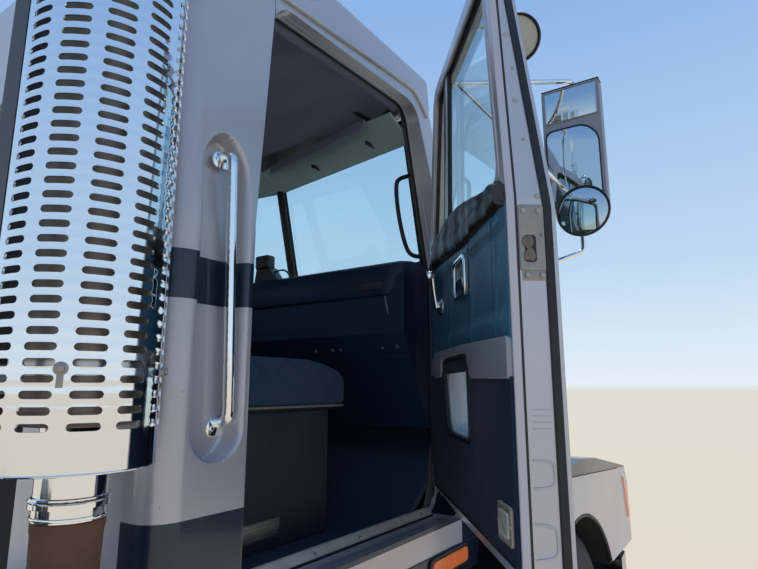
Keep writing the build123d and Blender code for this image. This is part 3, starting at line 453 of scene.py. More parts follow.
@dataclass
class Piece:
    """Names a modelled piece, dresses it, and fixes it to its body."""

    count: int = 0

    def fit(self, made: bpy.types.Object, name: str, finish: "Finish", body: str,
            replaces: Sequence[str] = (), smooth: float = 32) -> bpy.types.Object:
        """Finish one piece.

        Args:
            made: the modelled object.
            name: its name in the scene.
            finish: its surface.
            body: the body that it rides on.
            replaces: the solids that it stands for.
            smooth: the angle above which edges stay sharp.

        Returns:
            The finished piece.
        """
        Shop.settle(made)
        if smooth:
            Shop.smooth(made, smooth)
        made.name = name
        made.data.name = name
        made.data.materials.clear()
        made.data.materials.append(finish.material())
        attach(made, body)
        if replaces:
            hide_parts(*replaces)
        self.count += 1
        log.info("%s: %d faces", name, len(made.data.polygons))
        return made


PIECES = Piece()


class Fitting:
    """A group of pieces on one body, drawn on the right side where they come in pairs."""

    BODY = "chassis"
    SMOOTH = 40

    def lay(self, piece: bpy.types.Object, name: str, finish: "Finish", smooth: Optional[float] = None,
            replaces: Sequence[str] = (), slot: Optional[str] = None, body: Optional[str] = None) -> None:
        """Place one piece as it is drawn."""
        smooth = self.SMOOTH if smooth is None else smooth
        PIECES.fit(piece, name, finish, body or self.BODY, replaces, smooth)

    def pair(self, piece: bpy.types.Object, name: str, finish: "Finish", smooth: Optional[float] = None,
             body: Optional[str] = None) -> None:
        """Place a piece on the right side and its mirror image on the left."""
        for side in Side:
            made = Shop.copy(piece, Matrix.Identity(4) if side is Side.RIGHT else MIRROR)
            self.lay(made, f"{name}_{side.value}", finish, smooth, body=body)
        bpy.data.objects.remove(piece)


# ---------------------------------------------------------------- materials
class Groups:
    """Shader node groups that several finishes share."""

    @staticmethod
    def start(name: str, inputs: Sequence[tuple], outputs: Sequence[tuple]) -> tuple:
        """A new node group with named sockets.

        Args:
            name: the group's name.
            inputs: socket names, types and start values.
            outputs: socket names and types.

        Returns:
            The tree, its input node and its output node.
        """
        tree = bpy.data.node_groups.new(name, "ShaderNodeTree")
        for label, kind, value in inputs:
            socket = tree.interface.new_socket(label, in_out="INPUT", socket_type=f"NodeSocket{kind}")
            if value is not None:
                socket.default_value = value
        for label, kind in outputs:
            tree.interface.new_socket(label, in_out="OUTPUT", socket_type=f"NodeSocket{kind}")
        return tree, tree.nodes.new("NodeGroupInput"), tree.nodes.new("NodeGroupOutput")

    @staticmethod
    @cache
    def tone() -> bpy.types.NodeTree:
        """Slow and fine variation of a colour, as paint and plastic have."""
        tree, put, out = Groups.start(
            "tone_variation",
            [("Color", "Color", (1, 1, 1, 1)), ("Vector", "Vector", None), ("Scale", "Float", 3.0),
             ("Amount", "Float", 0.1)], [("Color", "Color"), ("Fac", "Float")])
        n = Nodes(tree)
        slow = n.noise(put.outputs["Vector"], put.outputs["Scale"], 5)
        span = n.math("MULTIPLY", put.outputs["Amount"], 2.0)
        gain = n.math("ADD", n.math("MULTIPLY", span, n.math("SUBTRACT", slow, 0.5)), 1.0)
        grey = n.place("CombineColor", Red=gain, Green=gain, Blue=gain)
        n.put(out, "Color", n.mix("MULTIPLY", 1.0, put.outputs["Color"], grey.outputs[0]))
        n.put(out, "Fac", slow)
        return tree

    @staticmethod
    @cache
    def dust() -> bpy.types.NodeTree:
        """Dust and dried dirt that settles in patches and on upward faces."""
        tree, put, out = Groups.start(
            "settled_dust",
            [("Color", "Color", (1, 1, 1, 1)), ("Dust", "Color", (0.4, 0.37, 0.33, 1)), ("Vector", "Vector", None),
             ("Normal", "Vector", None), ("Amount", "Float", 0.2), ("Scale", "Float", 6.0)],
            [("Color", "Color"), ("Mask", "Float")])
        n = Nodes(tree)
        patch = n.noise(put.outputs["Vector"], put.outputs["Scale"], 8, 0.65)
        up = n.clamp(n.math("MULTIPLY_ADD", n.split(put.outputs["Normal"])["Z"], 0.6, 0.45))
        mask = n.math("MULTIPLY", n.ramp(patch, (0.35, 0.0), (0.75, 1.0)), up)
        mask = n.clamp(n.math("MULTIPLY", mask, put.outputs["Amount"]))
        n.put(out, "Color", n.mix("MIX", mask, put.outputs["Color"], put.outputs["Dust"]))
        n.put(out, "Mask", mask)
        return tree

    @staticmethod
    @cache
    def chips() -> bpy.types.NodeTree:
        """Small spots where a coat has chipped off, gathered in patches."""
        tree, put, out = Groups.start(
            "chipped_spots",
            [("Color", "Color", (1, 1, 1, 1)), ("Chip", "Color", (0.05, 0.05, 0.05, 1)), ("Vector", "Vector", None),
             ("Scale", "Float", 60.0), ("Amount", "Float", 0.1)], [("Color", "Color"), ("Mask", "Float")])
        n = Nodes(tree)
        spots = n.place("TexVoronoi", Vector=put.outputs["Vector"], Scale=put.outputs["Scale"])
        where = n.ramp(n.noise(put.outputs["Vector"], 7.0, 6), (0.5, 0.0), (0.8, 1.0))
        mask = n.math("LESS_THAN", spots.outputs["Distance"], n.math("MULTIPLY", where, put.outputs["Amount"]))
        n.put(out, "Color", n.mix("MIX", mask, put.outputs["Color"], put.outputs["Chip"]))
        n.put(out, "Mask", mask)
        return tree

    @staticmethod
    @cache
    def grain() -> bpy.types.NodeTree:
        """Height of moulded plastic, hide or cast metal grain."""
        tree, put, out = Groups.start(
            "fine_grain", [("Vector", "Vector", None), ("Scale", "Float", 300.0), ("Pebbles", "Float", 0.5)],
            [("Height", "Float")])
        n = Nodes(tree)
        cells = n.place("TexVoronoi", settings={"feature": "SMOOTH_F1"}, Vector=put.outputs["Vector"],
                        Scale=put.outputs["Scale"])
        noise = n.noise(put.outputs["Vector"], put.outputs["Scale"], 6)
        n.put(out, "Height", n.mix_value(put.outputs["Pebbles"], noise, cells.outputs["Distance"]))
        return tree

    @staticmethod
    @cache
    def weave() -> bpy.types.NodeTree:
        """Threads of a woven cloth: their height, and how dark the gaps are."""
        tree, put, out = Groups.start("cloth_weave", [("Vector", "Vector", None), ("Scale", "Float", 220.0)],
                                      [("Height", "Float"), ("Shade", "Float")])
        n = Nodes(tree)
        waves = []
        for way in "XY":
            wave = n.place("TexWave", settings={"wave_type": "BANDS", "bands_direction": way}, Distortion=0.6,
                           Detail=2, Vector=put.outputs["Vector"], Scale=put.outputs["Scale"])
            waves.append(wave.outputs["Fac"])
        both = n.math("MAXIMUM", *waves)
        n.put(out, "Height", both)
        n.put(out, "Shade", n.ramp(both, (0.1, 0.0), (0.9, 1.0)))
        return tree

    @staticmethod
    @cache
    def brushed() -> bpy.types.NodeTree:
        """Faint long scratches of polished or rolled metal."""
        tree, put, out = Groups.start("brushed_lines", [("Vector", "Vector", None), ("Stretch", "Vector", (1, 1, 40))],
                                      [("Fac", "Float")])
        n = Nodes(tree)
        n.put(out, "Fac", n.noise(n.vector("MULTIPLY", put.outputs["Vector"], put.outputs["Stretch"]), 12, 8))
        return tree


class Nodes:
    """Short ways to place and wire nodes in a tree."""

    def __init__(self, tree: bpy.types.NodeTree) -> None:
        """Work in one node tree."""
        self.tree = tree

    def put(self, node: bpy.types.Node, socket: object, value: object) -> None:
        """Link an output to an input, or set the input's value."""
        if isinstance(value, bpy.types.NodeSocket):
            self.tree.links.new(value, node.inputs[socket])
        elif value is not None:
            node.inputs[socket].default_value = value

    def place(self, kind: str, *listed: object, settings: Optional[dict] = None, **named: object) -> bpy.types.Node:
        """Place a node of a kind, with its settings, and its inputs in order or by name."""
        node = self.tree.nodes.new(f"ShaderNode{kind}")
        for key, value in (settings or {}).items():
            setattr(node, key, value)
        for key, value in (*enumerate(listed), *named.items()):
            self.put(node, key, value)
        return node

    def math(self, kind: str, *values: object) -> bpy.types.NodeSocket:
        """One Math node."""
        return self.place("Math", *values, settings={"operation": kind}).outputs[0]

    def vector(self, kind: str, *values: object) -> bpy.types.NodeSocket:
        """One Vector Math node, its number or its vector."""
        node = self.place("VectorMath", *values, settings={"operation": kind})
        return node.outputs["Value" if kind == "DOT_PRODUCT" else 0]

    def clamp(self, value: bpy.types.NodeSocket) -> bpy.types.NodeSocket:
        """Keep a value from 0 to 1."""
        return self.place("Clamp", value).outputs[0]

    def split(self, vector: bpy.types.NodeSocket) -> bpy.types.bpy_prop_collection:
        """The X, Y and Z of a vector."""
        return self.place("SeparateXYZ", vector).outputs

    def noise(self, vector: object, scale: object, detail: float, rough: float = 0.5) -> bpy.types.NodeSocket:
        """Noise at a scale."""
        return self.place("TexNoise", Vector=vector, Scale=scale, Detail=detail, Roughness=rough).outputs["Fac"]

    def mix(self, kind: str, factor: object, first: object, second: object) -> bpy.types.NodeSocket:
        """Mix two colours."""
        node = self.place("Mix", factor, settings={"data_type": "RGBA", "blend_type": kind})
        self.put(node, 6, first)
        self.put(node, 7, second)
        return node.outputs[2]

    def mix_value(self, factor: object, first: object, second: object) -> bpy.types.NodeSocket:
        """Mix two numbers."""
        return self.place("Mix", factor, None, first, second).outputs[0]

    def ramp(self, value: object, low: tuple, high: tuple) -> bpy.types.NodeSocket:
        """A value mapped smoothly from (from, to) at low to (from, to) at high."""
        ends = dict(zip(("From Min", "To Min", "From Max", "To Max"), (*low, *high)))
        node = self.place("MapRange", value, settings={"interpolation_type": "SMOOTHSTEP", "clamp": True}, **ends)
        return node.outputs[0]

    def group(self, tree: bpy.types.NodeTree, **values: object) -> bpy.types.Node:
        """Place a shared group with its own values."""
        return self.place("Group", settings={"node_tree": tree}, **values)


class Relief(Enum):
    """The kind of fine relief a finish has."""

    NONE = "none"
    GRAIN = "grain"
    HIDE = "hide"
    WEAVE = "weave"
    BRUSHED = "brushed"


def rgb(red: float, green: float, blue: float) -> tuple[float, float, float, float]:
    """A colour with full alpha."""
    return (red, green, blue, 1.0)


@dataclass(frozen=True)
class Finish:
    """One surface: its colour, gloss, relief and soiling."""

    name: str
    color: tuple = (0.5, 0.5, 0.5, 1.0)
    rough: float = 0.5
    metal: float = 0.0
    coat: float = 0.0
    relief: Relief = Relief.GRAIN
    relief_scale: float = 400.0
    relief_depth: float = 0.0004
    tone: float = 0.10
    tone_scale: float = 4.0
    dust: float = 0.15
    dust_color: tuple = (0.42, 0.39, 0.35, 1.0)
    chips: float = 0.0
    chip_color: tuple = (0.05, 0.045, 0.04, 1.0)
    clear: float = 0.0
    glow: float = 0.0
    sheen: float = 0.0
    stretch: tuple = (1.0, 1.0, 40.0)
    paint: Optional[Callable] = None
    rough_spread: float = 0.12

    def material(self) -> bpy.types.Material:
        """The finish as a material, built once."""
        ready = bpy.data.materials.get(self.name)
        if ready:
            return ready
        made = bpy.data.materials.new(self.name)
        made.use_nodes = True
        tree = made.node_tree
        n = Nodes(tree)
        shader = tree.nodes["Principled BSDF"]
        place = tree.nodes.new("ShaderNodeTexCoord")
        at, facing = place.outputs["Object"], place.outputs["Normal"]
        color = self.paint(n, at, facing) if self.paint else self.color
        tone = n.group(Groups.tone(), Color=color, Vector=at, Scale=self.tone_scale, Amount=self.tone)
        color = tone.outputs["Color"]
        rough = n.ramp(tone.outputs["Fac"], (0.2, max(0.0, self.rough - self.rough_spread / 2)),
                       (0.8, min(1.0, self.rough + self.rough_spread)))
        if self.chips:
            spots = n.group(Groups.chips(), Color=color, Chip=self.chip_color, Vector=at, Amount=self.chips)
            color = spots.outputs["Color"]
        if self.dust:
            soil = n.group(Groups.dust(), Color=color, Dust=self.dust_color, Vector=at, Normal=facing,
                           Amount=self.dust)
            color = soil.outputs["Color"]
            rough = n.clamp(n.math("MULTIPLY_ADD", soil.outputs["Mask"], 0.5, rough))
        height = None
        if self.relief in (Relief.GRAIN, Relief.HIDE):
            pebbles = 0.85 if self.relief is Relief.HIDE else 0.2
            height = n.group(Groups.grain(), Vector=at, Scale=self.relief_scale, Pebbles=pebbles).outputs[0]
        elif self.relief is Relief.WEAVE:
            cloth = n.group(Groups.weave(), Vector=at, Scale=self.relief_scale)
            height = cloth.outputs["Height"]
            color = n.mix("MULTIPLY", 0.55, color, n.ramp(cloth.outputs["Shade"], (0.0, 0.45), (1.0, 1.0)))
        elif self.relief is Relief.BRUSHED:
            lines = n.group(Groups.brushed(), Vector=at, Stretch=self.stretch).outputs[0]
            rough = n.clamp(n.math("MULTIPLY_ADD", lines, 0.16, n.math("SUBTRACT", rough, 0.08)))
            height = lines
        values = {"Base Color": color, "Roughness": rough, "Metallic": self.metal, "Coat Weight": self.coat,
                  "Coat Roughness": 0.08, "Sheen Weight": self.sheen}
        if self.clear:
            values |= {"Transmission Weight": self.clear, "IOR": 1.3}
        if self.glow:
            values |= {"Emission Color": self.color, "Emission Strength": self.glow}
        for socket, value in values.items():
            n.put(shader, socket, value)
        if height is not None and self.relief_depth:
            bump = n.place("Bump", Strength=0.6, Distance=self.relief_depth, Height=height)
            n.put(shader, "Normal", bump.outputs["Normal"])
        return made


SILVER = rgb(0.46, 0.45, 0.49)
NAVY = rgb(0.004, 0.017, 0.042)
JAMB = rgb(0.52, 0.50, 0.54)
BELT_STRIPE = (1.829, 1.926)
NAVY_TOP = 1.424
# the silver strip under the door; ahead of its front end the strip stays navy, a painted reflection of the open door's
# dark lower part
SILVER_SILL_X_TO_PAINTED_REFLECTION, UNDER_DOOR_Z = (0.74, 1.672), (1.150, 1.222)
WIDE_FROM = 0.93  # the skin, and not the cab's back or the hood, is further out than this
FENDER_LINE = (2.51, 1.279, -0.0695)  # x, the height there, and the rise per metre forward
HOOD_LINE = (1.95, 1.885, -0.335)


def band(n: Nodes, height: bpy.types.NodeSocket, low: float, high: float) -> bpy.types.NodeSocket:
    """1 between two heights and 0 elsewhere."""
    return n.math("MULTIPLY", n.math("GREATER_THAN", height, low), n.math("LESS_THAN", height, high))


def cab_colours(n: Nodes, at: bpy.types.NodeSocket, facing: bpy.types.NodeSocket, out: Point = (0, 0, 0),
                inner: tuple = JAMB) -> bpy.types.NodeSocket:
    """Silver with a navy stripe at the belt and navy below, on the faces that look outwards. The silver strip under the
    door stops at the door's front, and the strip ahead of it is left navy as a painted reflection of the open door's
    dark lower part.

    Args:
        n: the node maker.
        at: the position socket.
        facing: the normal socket.
        out: which way the outer skin faces, or zero for every side face.
        inner: the colour of the other faces.

    Returns:
        The colour socket.
    """
    place = n.split(at)
    height = place["Z"]
    # silver strip under the door only; ahead of it the navy is a painted reflection of the open door's dark lower part
    silver_sill_short_of_painted_reflection = n.math("MULTIPLY", band(n, place["X"], *SILVER_SILL_X_TO_PAINTED_REFLECTION), band(n, height, *UNDER_DOOR_Z))
    navy = n.math("MAXIMUM", band(n, height, *BELT_STRIPE), n.math("LESS_THAN", height, NAVY_TOP))
    coat = n.mix("MIX", n.math("SUBTRACT", navy, silver_sill_short_of_painted_reflection), SILVER, NAVY)
    if any(out):
        skin = n.math("GREATER_THAN", n.vector("DOT_PRODUCT", facing, tuple(out)), 0.5)
    else:
        skin = n.math("GREATER_THAN", n.math("ABSOLUTE", n.vector("DOT_PRODUCT", facing, (0, 1, 0))), 0.25)
        rear = n.math("LESS_THAN", n.vector("DOT_PRODUCT", facing, (1, 0, 0)), -0.4)
        outside = n.math("GREATER_THAN", n.math("ABSOLUTE", place["Y"]), WIDE_FROM)
        skin = n.math("MULTIPLY", n.math("MAXIMUM", skin, rear), outside)
    return n.mix("MIX", skin, inner, coat)


def right_door_colours(n: Nodes, at: bpy.types.NodeSocket, facing: bpy.types.NodeSocket) -> bpy.types.NodeSocket:
    """Outer skin colours of the open right door."""
    return cab_colours(n, at, facing, (math.sin(DOOR_OPEN), -math.cos(DOOR_OPEN), 0))


def left_door_colours(n: Nodes, at: bpy.types.NodeSocket, facing: bpy.types.NodeSocket) -> bpy.types.NodeSocket:
    """Outer skin colours of the shut left door."""
    return cab_colours(n, at, facing, (0, 1, 0))


def hood_colours(n: Nodes, at: bpy.types.NodeSocket, facing: bpy.types.NodeSocket) -> bpy.types.NodeSocket:
    """Navy on top, silver on the sides, with the fenders' tops navy down to a curved line."""
    place = n.split(at)
    wide = n.math("ABSOLUTE", place["Y"])
    zones = []
    for kind, (start, height, fall) in (("GREATER_THAN", FENDER_LINE), ("LESS_THAN", HOOD_LINE)):
        line = n.math("MULTIPLY_ADD", n.math("SUBTRACT", place["X"], start), fall, height)
        above = n.math("GREATER_THAN", place["Z"], line)
        zones.append(n.math("MULTIPLY", n.math(kind, wide, WIDE_FROM), above))
    return n.mix("MIX", n.math("MAXIMUM", *zones), SILVER, NAVY)


PAINT = dict(rough=0.30, metal=0.35, coat=0.5, relief_scale=900.0, relief_depth=0.00008,
             tone=0.06, tone_scale=2.2, dust=0.10, chips=0.16)


class Finishes:
    """Every finish of the vehicle, in a maker's plain words."""

    CAB = Finish("cab_paint", paint=cab_colours, **PAINT)
    DOOR_RIGHT = Finish("door_paint_right", paint=right_door_colours, **PAINT)
    DOOR_LEFT = Finish("door_paint_left", paint=left_door_colours, **PAINT)
    HOOD = Finish("hood_paint", paint=hood_colours, **PAINT)
    JAMB = Finish("jamb_paint", JAMB, 0.42, 0.25, 0.2, relief_depth=0.00015, tone_scale=9.0, dust=0.25,
                  chips=0.22)
    NAVY = Finish("navy_paint", NAVY, 0.22, 0.2, 0.6, relief_depth=0.00008, dust=0.10)
    CHROME = Finish("chrome", rgb(0.86, 0.87, 0.89), 0.045, 1.0, relief_scale=6.0,
                    relief_depth=0.0006, tone=0.03, tone_scale=7.0, dust=0.05, rough_spread=0.05)
    SHIELD = Finish("polished_shield", rgb(0.83, 0.85, 0.88), 0.05, 1.0, relief_scale=3.0,
                    relief_depth=0.002, tone=0.04, tone_scale=8.0, dust=0.06, rough_spread=0.08)
    STEEL = Finish("brushed_steel", rgb(0.55, 0.55, 0.55), 0.32, 1.0, relief=Relief.BRUSHED, relief_depth=0.0002,
                   dust=0.2)
    ZINC = Finish("zinc_plate", rgb(0.50, 0.48, 0.44), 0.38, 1.0, relief_scale=250.0, relief_depth=0.0003,
                  tone=0.25, tone_scale=40.0, dust=0.25)
    SCUFF = Finish("scuff_aluminium", rgb(0.80, 0.72, 0.60), 0.42, 0.25, relief=Relief.BRUSHED,
                   relief_depth=0.0003, stretch=(1.0, 30.0, 30.0), tone=0.2, tone_scale=14.0, dust=0.3)
    ALUMINIUM = Finish("polished_aluminium", rgb(0.80, 0.81, 0.82), 0.16, 1.0, relief=Relief.BRUSHED,
                       relief_depth=0.0001, stretch=(1.0, 25.0, 25.0), dust=0.12)
    RUST = Finish("rusty_pipe", rgb(0.12, 0.055, 0.035), 0.8, 0.1, relief_scale=120.0, relief_depth=0.0012,
                  tone=0.55, tone_scale=22.0, dust=0.25, dust_color=rgb(0.26, 0.15, 0.09), rough_spread=0.1)
    MUFFLER = Finish("heated_steel", rgb(0.30, 0.25, 0.21), 0.45, 0.8, relief_scale=60.0, relief_depth=0.0006,
                     tone=0.4, tone_scale=5.0, dust=0.3)
    RUBBER = Finish("rubber", rgb(0.006, 0.007, 0.011), 0.5, relief_scale=260.0, relief_depth=0.0003, dust=0.06)
    BLACK = Finish("black_plastic", rgb(0.010, 0.011, 0.013), 0.38, relief_scale=500.0, dust=0.10)
    DASH = Finish("dash_plastic", rgb(0.003, 0.019, 0.048), 0.50, relief=Relief.HIDE, relief_scale=420.0,
                  relief_depth=0.0005, tone=0.15, dust=0.08, dust_color=rgb(0.06, 0.10, 0.15))
    TRIM = Finish("pillar_trim", rgb(0.085, 0.080, 0.095), 0.5, relief=Relief.HIDE, relief_scale=420.0, dust=0.12)
    TEAL = Finish("teal_vinyl", rgb(0.040, 0.135, 0.220), 0.42, relief=Relief.HIDE, relief_scale=520.0,
                  relief_depth=0.0005, tone=0.16, tone_scale=6.0, dust=0.12, dust_color=rgb(0.18, 0.24, 0.28))
    BAND = Finish("grey_vinyl", rgb(0.28, 0.29, 0.32), 0.48, relief=Relief.HIDE, relief_scale=520.0,
                  relief_depth=0.0005, tone=0.14, tone_scale=8.0, dust=0.2)
    CARPET = Finish("navy_carpet", rgb(0.003, 0.014, 0.040), 0.85, relief_scale=700.0,
                    relief_depth=0.0010, tone=0.25, tone_scale=11.0, dust=0.04, dust_color=rgb(0.045, 0.055, 0.075),
                    sheen=0.02)
    FLOOR = Finish("floor_mat", rgb(0.034, 0.038, 0.050), 0.8, relief_scale=500.0,
                   relief_depth=0.0012, tone=0.35, tone_scale=7.0, dust=0.25, dust_color=rgb(0.15, 0.14, 0.14))
    CLOTH = Finish("blue_cloth", rgb(0.018, 0.052, 0.118), 0.9, relief=Relief.WEAVE, relief_scale=170.0,
                   relief_depth=0.0008, tone=0.16, tone_scale=9.0, dust=0.05, dust_color=rgb(0.12, 0.14, 0.18),
                   sheen=0.10)
    SEAT_SHELL = Finish("seat_shell", rgb(0.027, 0.034, 0.046), 0.62, relief=Relief.HIDE, relief_scale=260.0,
                        relief_depth=0.0006, tone=0.3, tone_scale=9.0, dust=0.28, dust_color=rgb(0.085, 0.080, 0.080))
    LINER = Finish("headliner", rgb(0.20, 0.21, 0.31), 0.9, relief_scale=450.0,
                   relief_depth=0.001, dust=0.05, sheen=0.1)
    HEADER = Finish("header_panel", rgb(0.40, 0.53, 0.53), 0.6, relief=Relief.HIDE, dust=0.05)
    GLASS = Finish("teal_glass", rgb(0.74, 0.91, 0.93), 0.0, clear=1.0, relief=Relief.NONE, tone=0.0, dust=0.0,
                   rough_spread=0.0)
    LENS = Finish("lamp_glass", rgb(0.95, 0.97, 1.0), 0.03, clear=0.9, relief_scale=60.0,
                  relief_depth=0.002, tone=0.0, dust=0.03, rough_spread=0.02)
    AMBER = Finish("amber_lens", rgb(0.80, 0.16, 0.03), 0.18, coat=0.5, relief_scale=160.0,
                   relief_depth=0.002, tone=0.12, tone_scale=30.0, dust=0.12, glow=0.05)
    RED = Finish("red_lens", rgb(0.55, 0.02, 0.02), 0.18, coat=0.5, relief_scale=160.0,
                 relief_depth=0.002, dust=0.12, glow=0.04)
    MIRROR = Finish("mirror_glass", rgb(0.50, 0.58, 0.62), 0.015, 1.0, relief=Relief.NONE, tone=0.02, dust=0.03,
                    rough_spread=0.01)
    LAMP_PLATE = Finish("tarnished_plate", rgb(0.42, 0.38, 0.33), 0.42, 0.6, relief_scale=90.0, relief_depth=0.0006,
                        tone=0.35, tone_scale=38.0, dust=0.35, dust_color=rgb(0.22, 0.16, 0.11))
    LATCH = Finish("dull_zinc", rgb(0.33, 0.30, 0.28), 0.45, 0.7, relief_scale=120.0, relief_depth=0.0005,
                   tone=0.3, tone_scale=60.0, dust=0.3, dust_color=rgb(0.20, 0.17, 0.14))
    FOGGED = Finish("fogged_lens", rgb(0.55, 0.52, 0.46), 0.28, 0.1, coat=0.3, relief_scale=140.0, relief_depth=0.001,
                    tone=0.3, tone_scale=60.0, dust=0.25)
    WORN_IRON = Finish("worn_iron", rgb(0.20, 0.165, 0.13), 0.5, 0.7, relief_scale=200.0, relief_depth=0.0008,
                       tone=0.5, tone_scale=90.0, dust=0.3, dust_color=rgb(0.13, 0.075, 0.045))
    MIRROR_SHELL = Finish("mirror_shell_paint", rgb(0.24, 0.24, 0.27), 0.36, 0.3, relief_scale=500.0, dust=0.15)
    PIPING = Finish("pale_piping", rgb(0.22, 0.20, 0.17), 0.6, relief=Relief.HIDE, relief_scale=600.0, dust=0.25)
    CREAM = Finish("cream_enamel", rgb(0.55, 0.54, 0.50), 0.35, coat=0.3, dust=0.15)
    FRAME = Finish("frame_paint", rgb(0.018, 0.018, 0.020), 0.5, relief_scale=200.0, relief_depth=0.0006, tone=0.3,
                   tone_scale=5.0, dust=0.45)
    CAST = Finish("cast_iron", rgb(0.045, 0.042, 0.040), 0.65, 0.4, relief_scale=160.0, relief_depth=0.001, tone=0.3,
                  dust=0.5)
    TYRE = Finish("tyre_rubber", rgb(0.016, 0.016, 0.017), 0.72, relief_scale=220.0, relief_depth=0.0006, tone=0.3,
                  tone_scale=6.0, dust=0.45, dust_color=rgb(0.20, 0.18, 0.16))
    ENGINE = Finish("engine_paint", rgb(0.16, 0.15, 0.14), 0.55, relief_scale=90.0, relief_depth=0.001, dust=0.5)
    CORE = Finish("radiator_core", rgb(0.02, 0.02, 0.02), 0.6, 0.3, relief=Relief.BRUSHED, relief_depth=0.001,
                  stretch=(1.0, 60.0, 1.0), dust=0.4)


F = Finishes

NODE_FINISH: dict[str, Finish] = {
    "frame_rails": F.FRAME, "crossmembers": F.FRAME, "front_bumper": F.NAVY, "front_axle": F.CAST,
    "drive_axles": F.CAST, "rear_suspension": F.CAST, "engine": F.ENGINE, "radiator": F.CORE,
    "fuel_tank": F.ALUMINIUM, "tank_steps": F.ALUMINIUM, "battery_box": F.ALUMINIUM, "air_tanks": F.ALUMINIUM,
    "cab_corner": F.CAB, "cab_floor": F.CAB, "cab_back": F.CAB, "cab_roof": F.CAB, "cab_front": F.CAB,
    "cab_glass": F.GLASS, "dashboard": F.DASH, "engine_cover": F.FLOOR, "seat_bases": F.SEAT_SHELL,
    "seat_cushions": F.CLOTH, "seat_backs": F.CLOTH, "steering_column": F.BLACK, "steering_wheel": F.BLACK,
    "grab_handles": F.CHROME, "exhaust_pipe": F.RUST, "exhaust_stack": F.CHROME, "muffler": F.MUFFLER,
    "heat_shield": F.SHIELD, "exhaust_mount": F.FRAME, "fifth_wheel": F.CAST, "rear_lamp_bar": F.FRAME,
    "hood_shell": F.HOOD, "grille": F.CHROME, "headlamps": F.LENS, "door_shell_right": F.DOOR_RIGHT,
    "door_shell_left": F.DOOR_LEFT, "door_glass": F.GLASS, "mirror": F.BLACK, "knuckle": F.CAST, "tie_rod": F.CAST,
    "front_tyre": F.TYRE, "drive_tyres": F.TYRE, "front_wheel": F.ALUMINIUM, "drive_wheels": F.ALUMINIUM,
}


def dress_nodes() -> None:
    """Give every carried-over solid its finish."""
    for name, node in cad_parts.items():
        keys = [key for key in NODE_FINISH if name.startswith(key)]
        finish = NODE_FINISH[max(keys, key=len)] if keys else F.FRAME
        for slot in node.material_slots:
            slot.material = finish.material()
        log.info("solid %s: %s", name, finish.name)


def smoothstep(value: np.ndarray) -> np.ndarray:
    """0 to 1 with soft ends."""
    t = np.clip(value, 0, 1)
    return t * t * (3 - 2 * t)


# ---------------------------------------------------------------- the cab's outside
@dataclass
class CornerPanel(Fitting):
    """Rear corner of the cab side: one pressed skin with a soft-edged handle recess."""

    rear_x: float = 0.480
    jamb_x: float = 0.692
    front_x: float = 0.770
    low_z: float = 1.055
    high_z: float = 2.700
    wall: float = 0.105
    radius: float = 0.060
    recess_depth: float = 0.040
    recess_x: tuple = (0.552, 0.672)
    recess_z: tuple = (1.520, 2.200)
    round_z: float = 1.313
    round_by: float = 0.078

    def jamb(self, z: float) -> float:
        """How far forward the panel reaches at a height."""
        if z <= SILL_Z:
            return self.front_x
        if z < self.round_z:
            rise = self.round_z - z
            return self.jamb_x + self.round_by - math.sqrt(max(self.round_by ** 2 - rise ** 2, 0))
        return min(self.front_x, self.jamb_x + max(0.0, z - 2.015) * 0.128)

    def depth(self, x: np.ndarray, z: float) -> np.ndarray:
        """Depth of the recess, soft at its rim."""
        middle = sum(self.recess_x) / 2
        half = (self.recess_x[1] - self.recess_x[0]) / 2
        round_low = max(0.0, (self.recess_z[0] + half - z) / half)
        round_high = max(0.0, (z - self.recess_z[1] + 1.6 * half) / (1.6 * half))
        narrow = math.sqrt(max(0.0, 1 - min(1.0, max(round_low, round_high)) ** 2))
        reach = half * narrow
        away = np.abs(x - middle)
        return self.recess_depth * smoothstep((reach - away) / 0.026 + 0.25) * (narrow > 0)

    def build(self, side: Side) -> None:
        """Make the panel of one side.

        Args:
            side: the vehicle's side.
        """
        ends = (self.low_z, SILL_Z, self.round_z, 1.50, 1.64, 2.09, 2.23, self.high_z)
        steps = (8, 10, 12, 32, 30, 32, 20)
        spans = [np.linspace(low, high, count) for low, high, count in zip(ends, ends[1:], steps)]
        heights = np.unique(np.round(np.concatenate(spans), 5))
        rings = []
        for z in heights:
            lean = LEAN * max(0.0, z - LEAN_Z)
            out = -(SKIN_Y - lean)
            inner = -(SKIN_Y - self.wall)
            front = self.jamb(float(z))
            turn = np.linspace(0, math.pi / 2, 9)
            corner_x = self.rear_x + self.radius * (1 - np.cos(turn))
            corner_y = out + self.radius * (1 - np.sin(turn))
            x = np.linspace(self.rear_x + self.radius, front - 0.004, 46)[1:]
            y = out + self.depth(x, float(z))
            path = [(self.rear_x, inner)]
            path += list(zip(corner_x, corner_y))
            path += list(zip(x, y))
            path += [(front - 0.001, out + 0.001), (front, out + 0.004), (front, inner)]
            rings.append([(px, py, z) for px, py in path])
        piece = Shop.loft(np.array(rings))
        if side is Side.LEFT:
            mirrored = Shop.copy(piece, MIRROR)
            bpy.data.objects.remove(piece)
            piece = mirrored
        self.lay(piece, f"corner_panel_{side.value}", F.CAB, replaces=[f"cab_corner_{side.value}"])


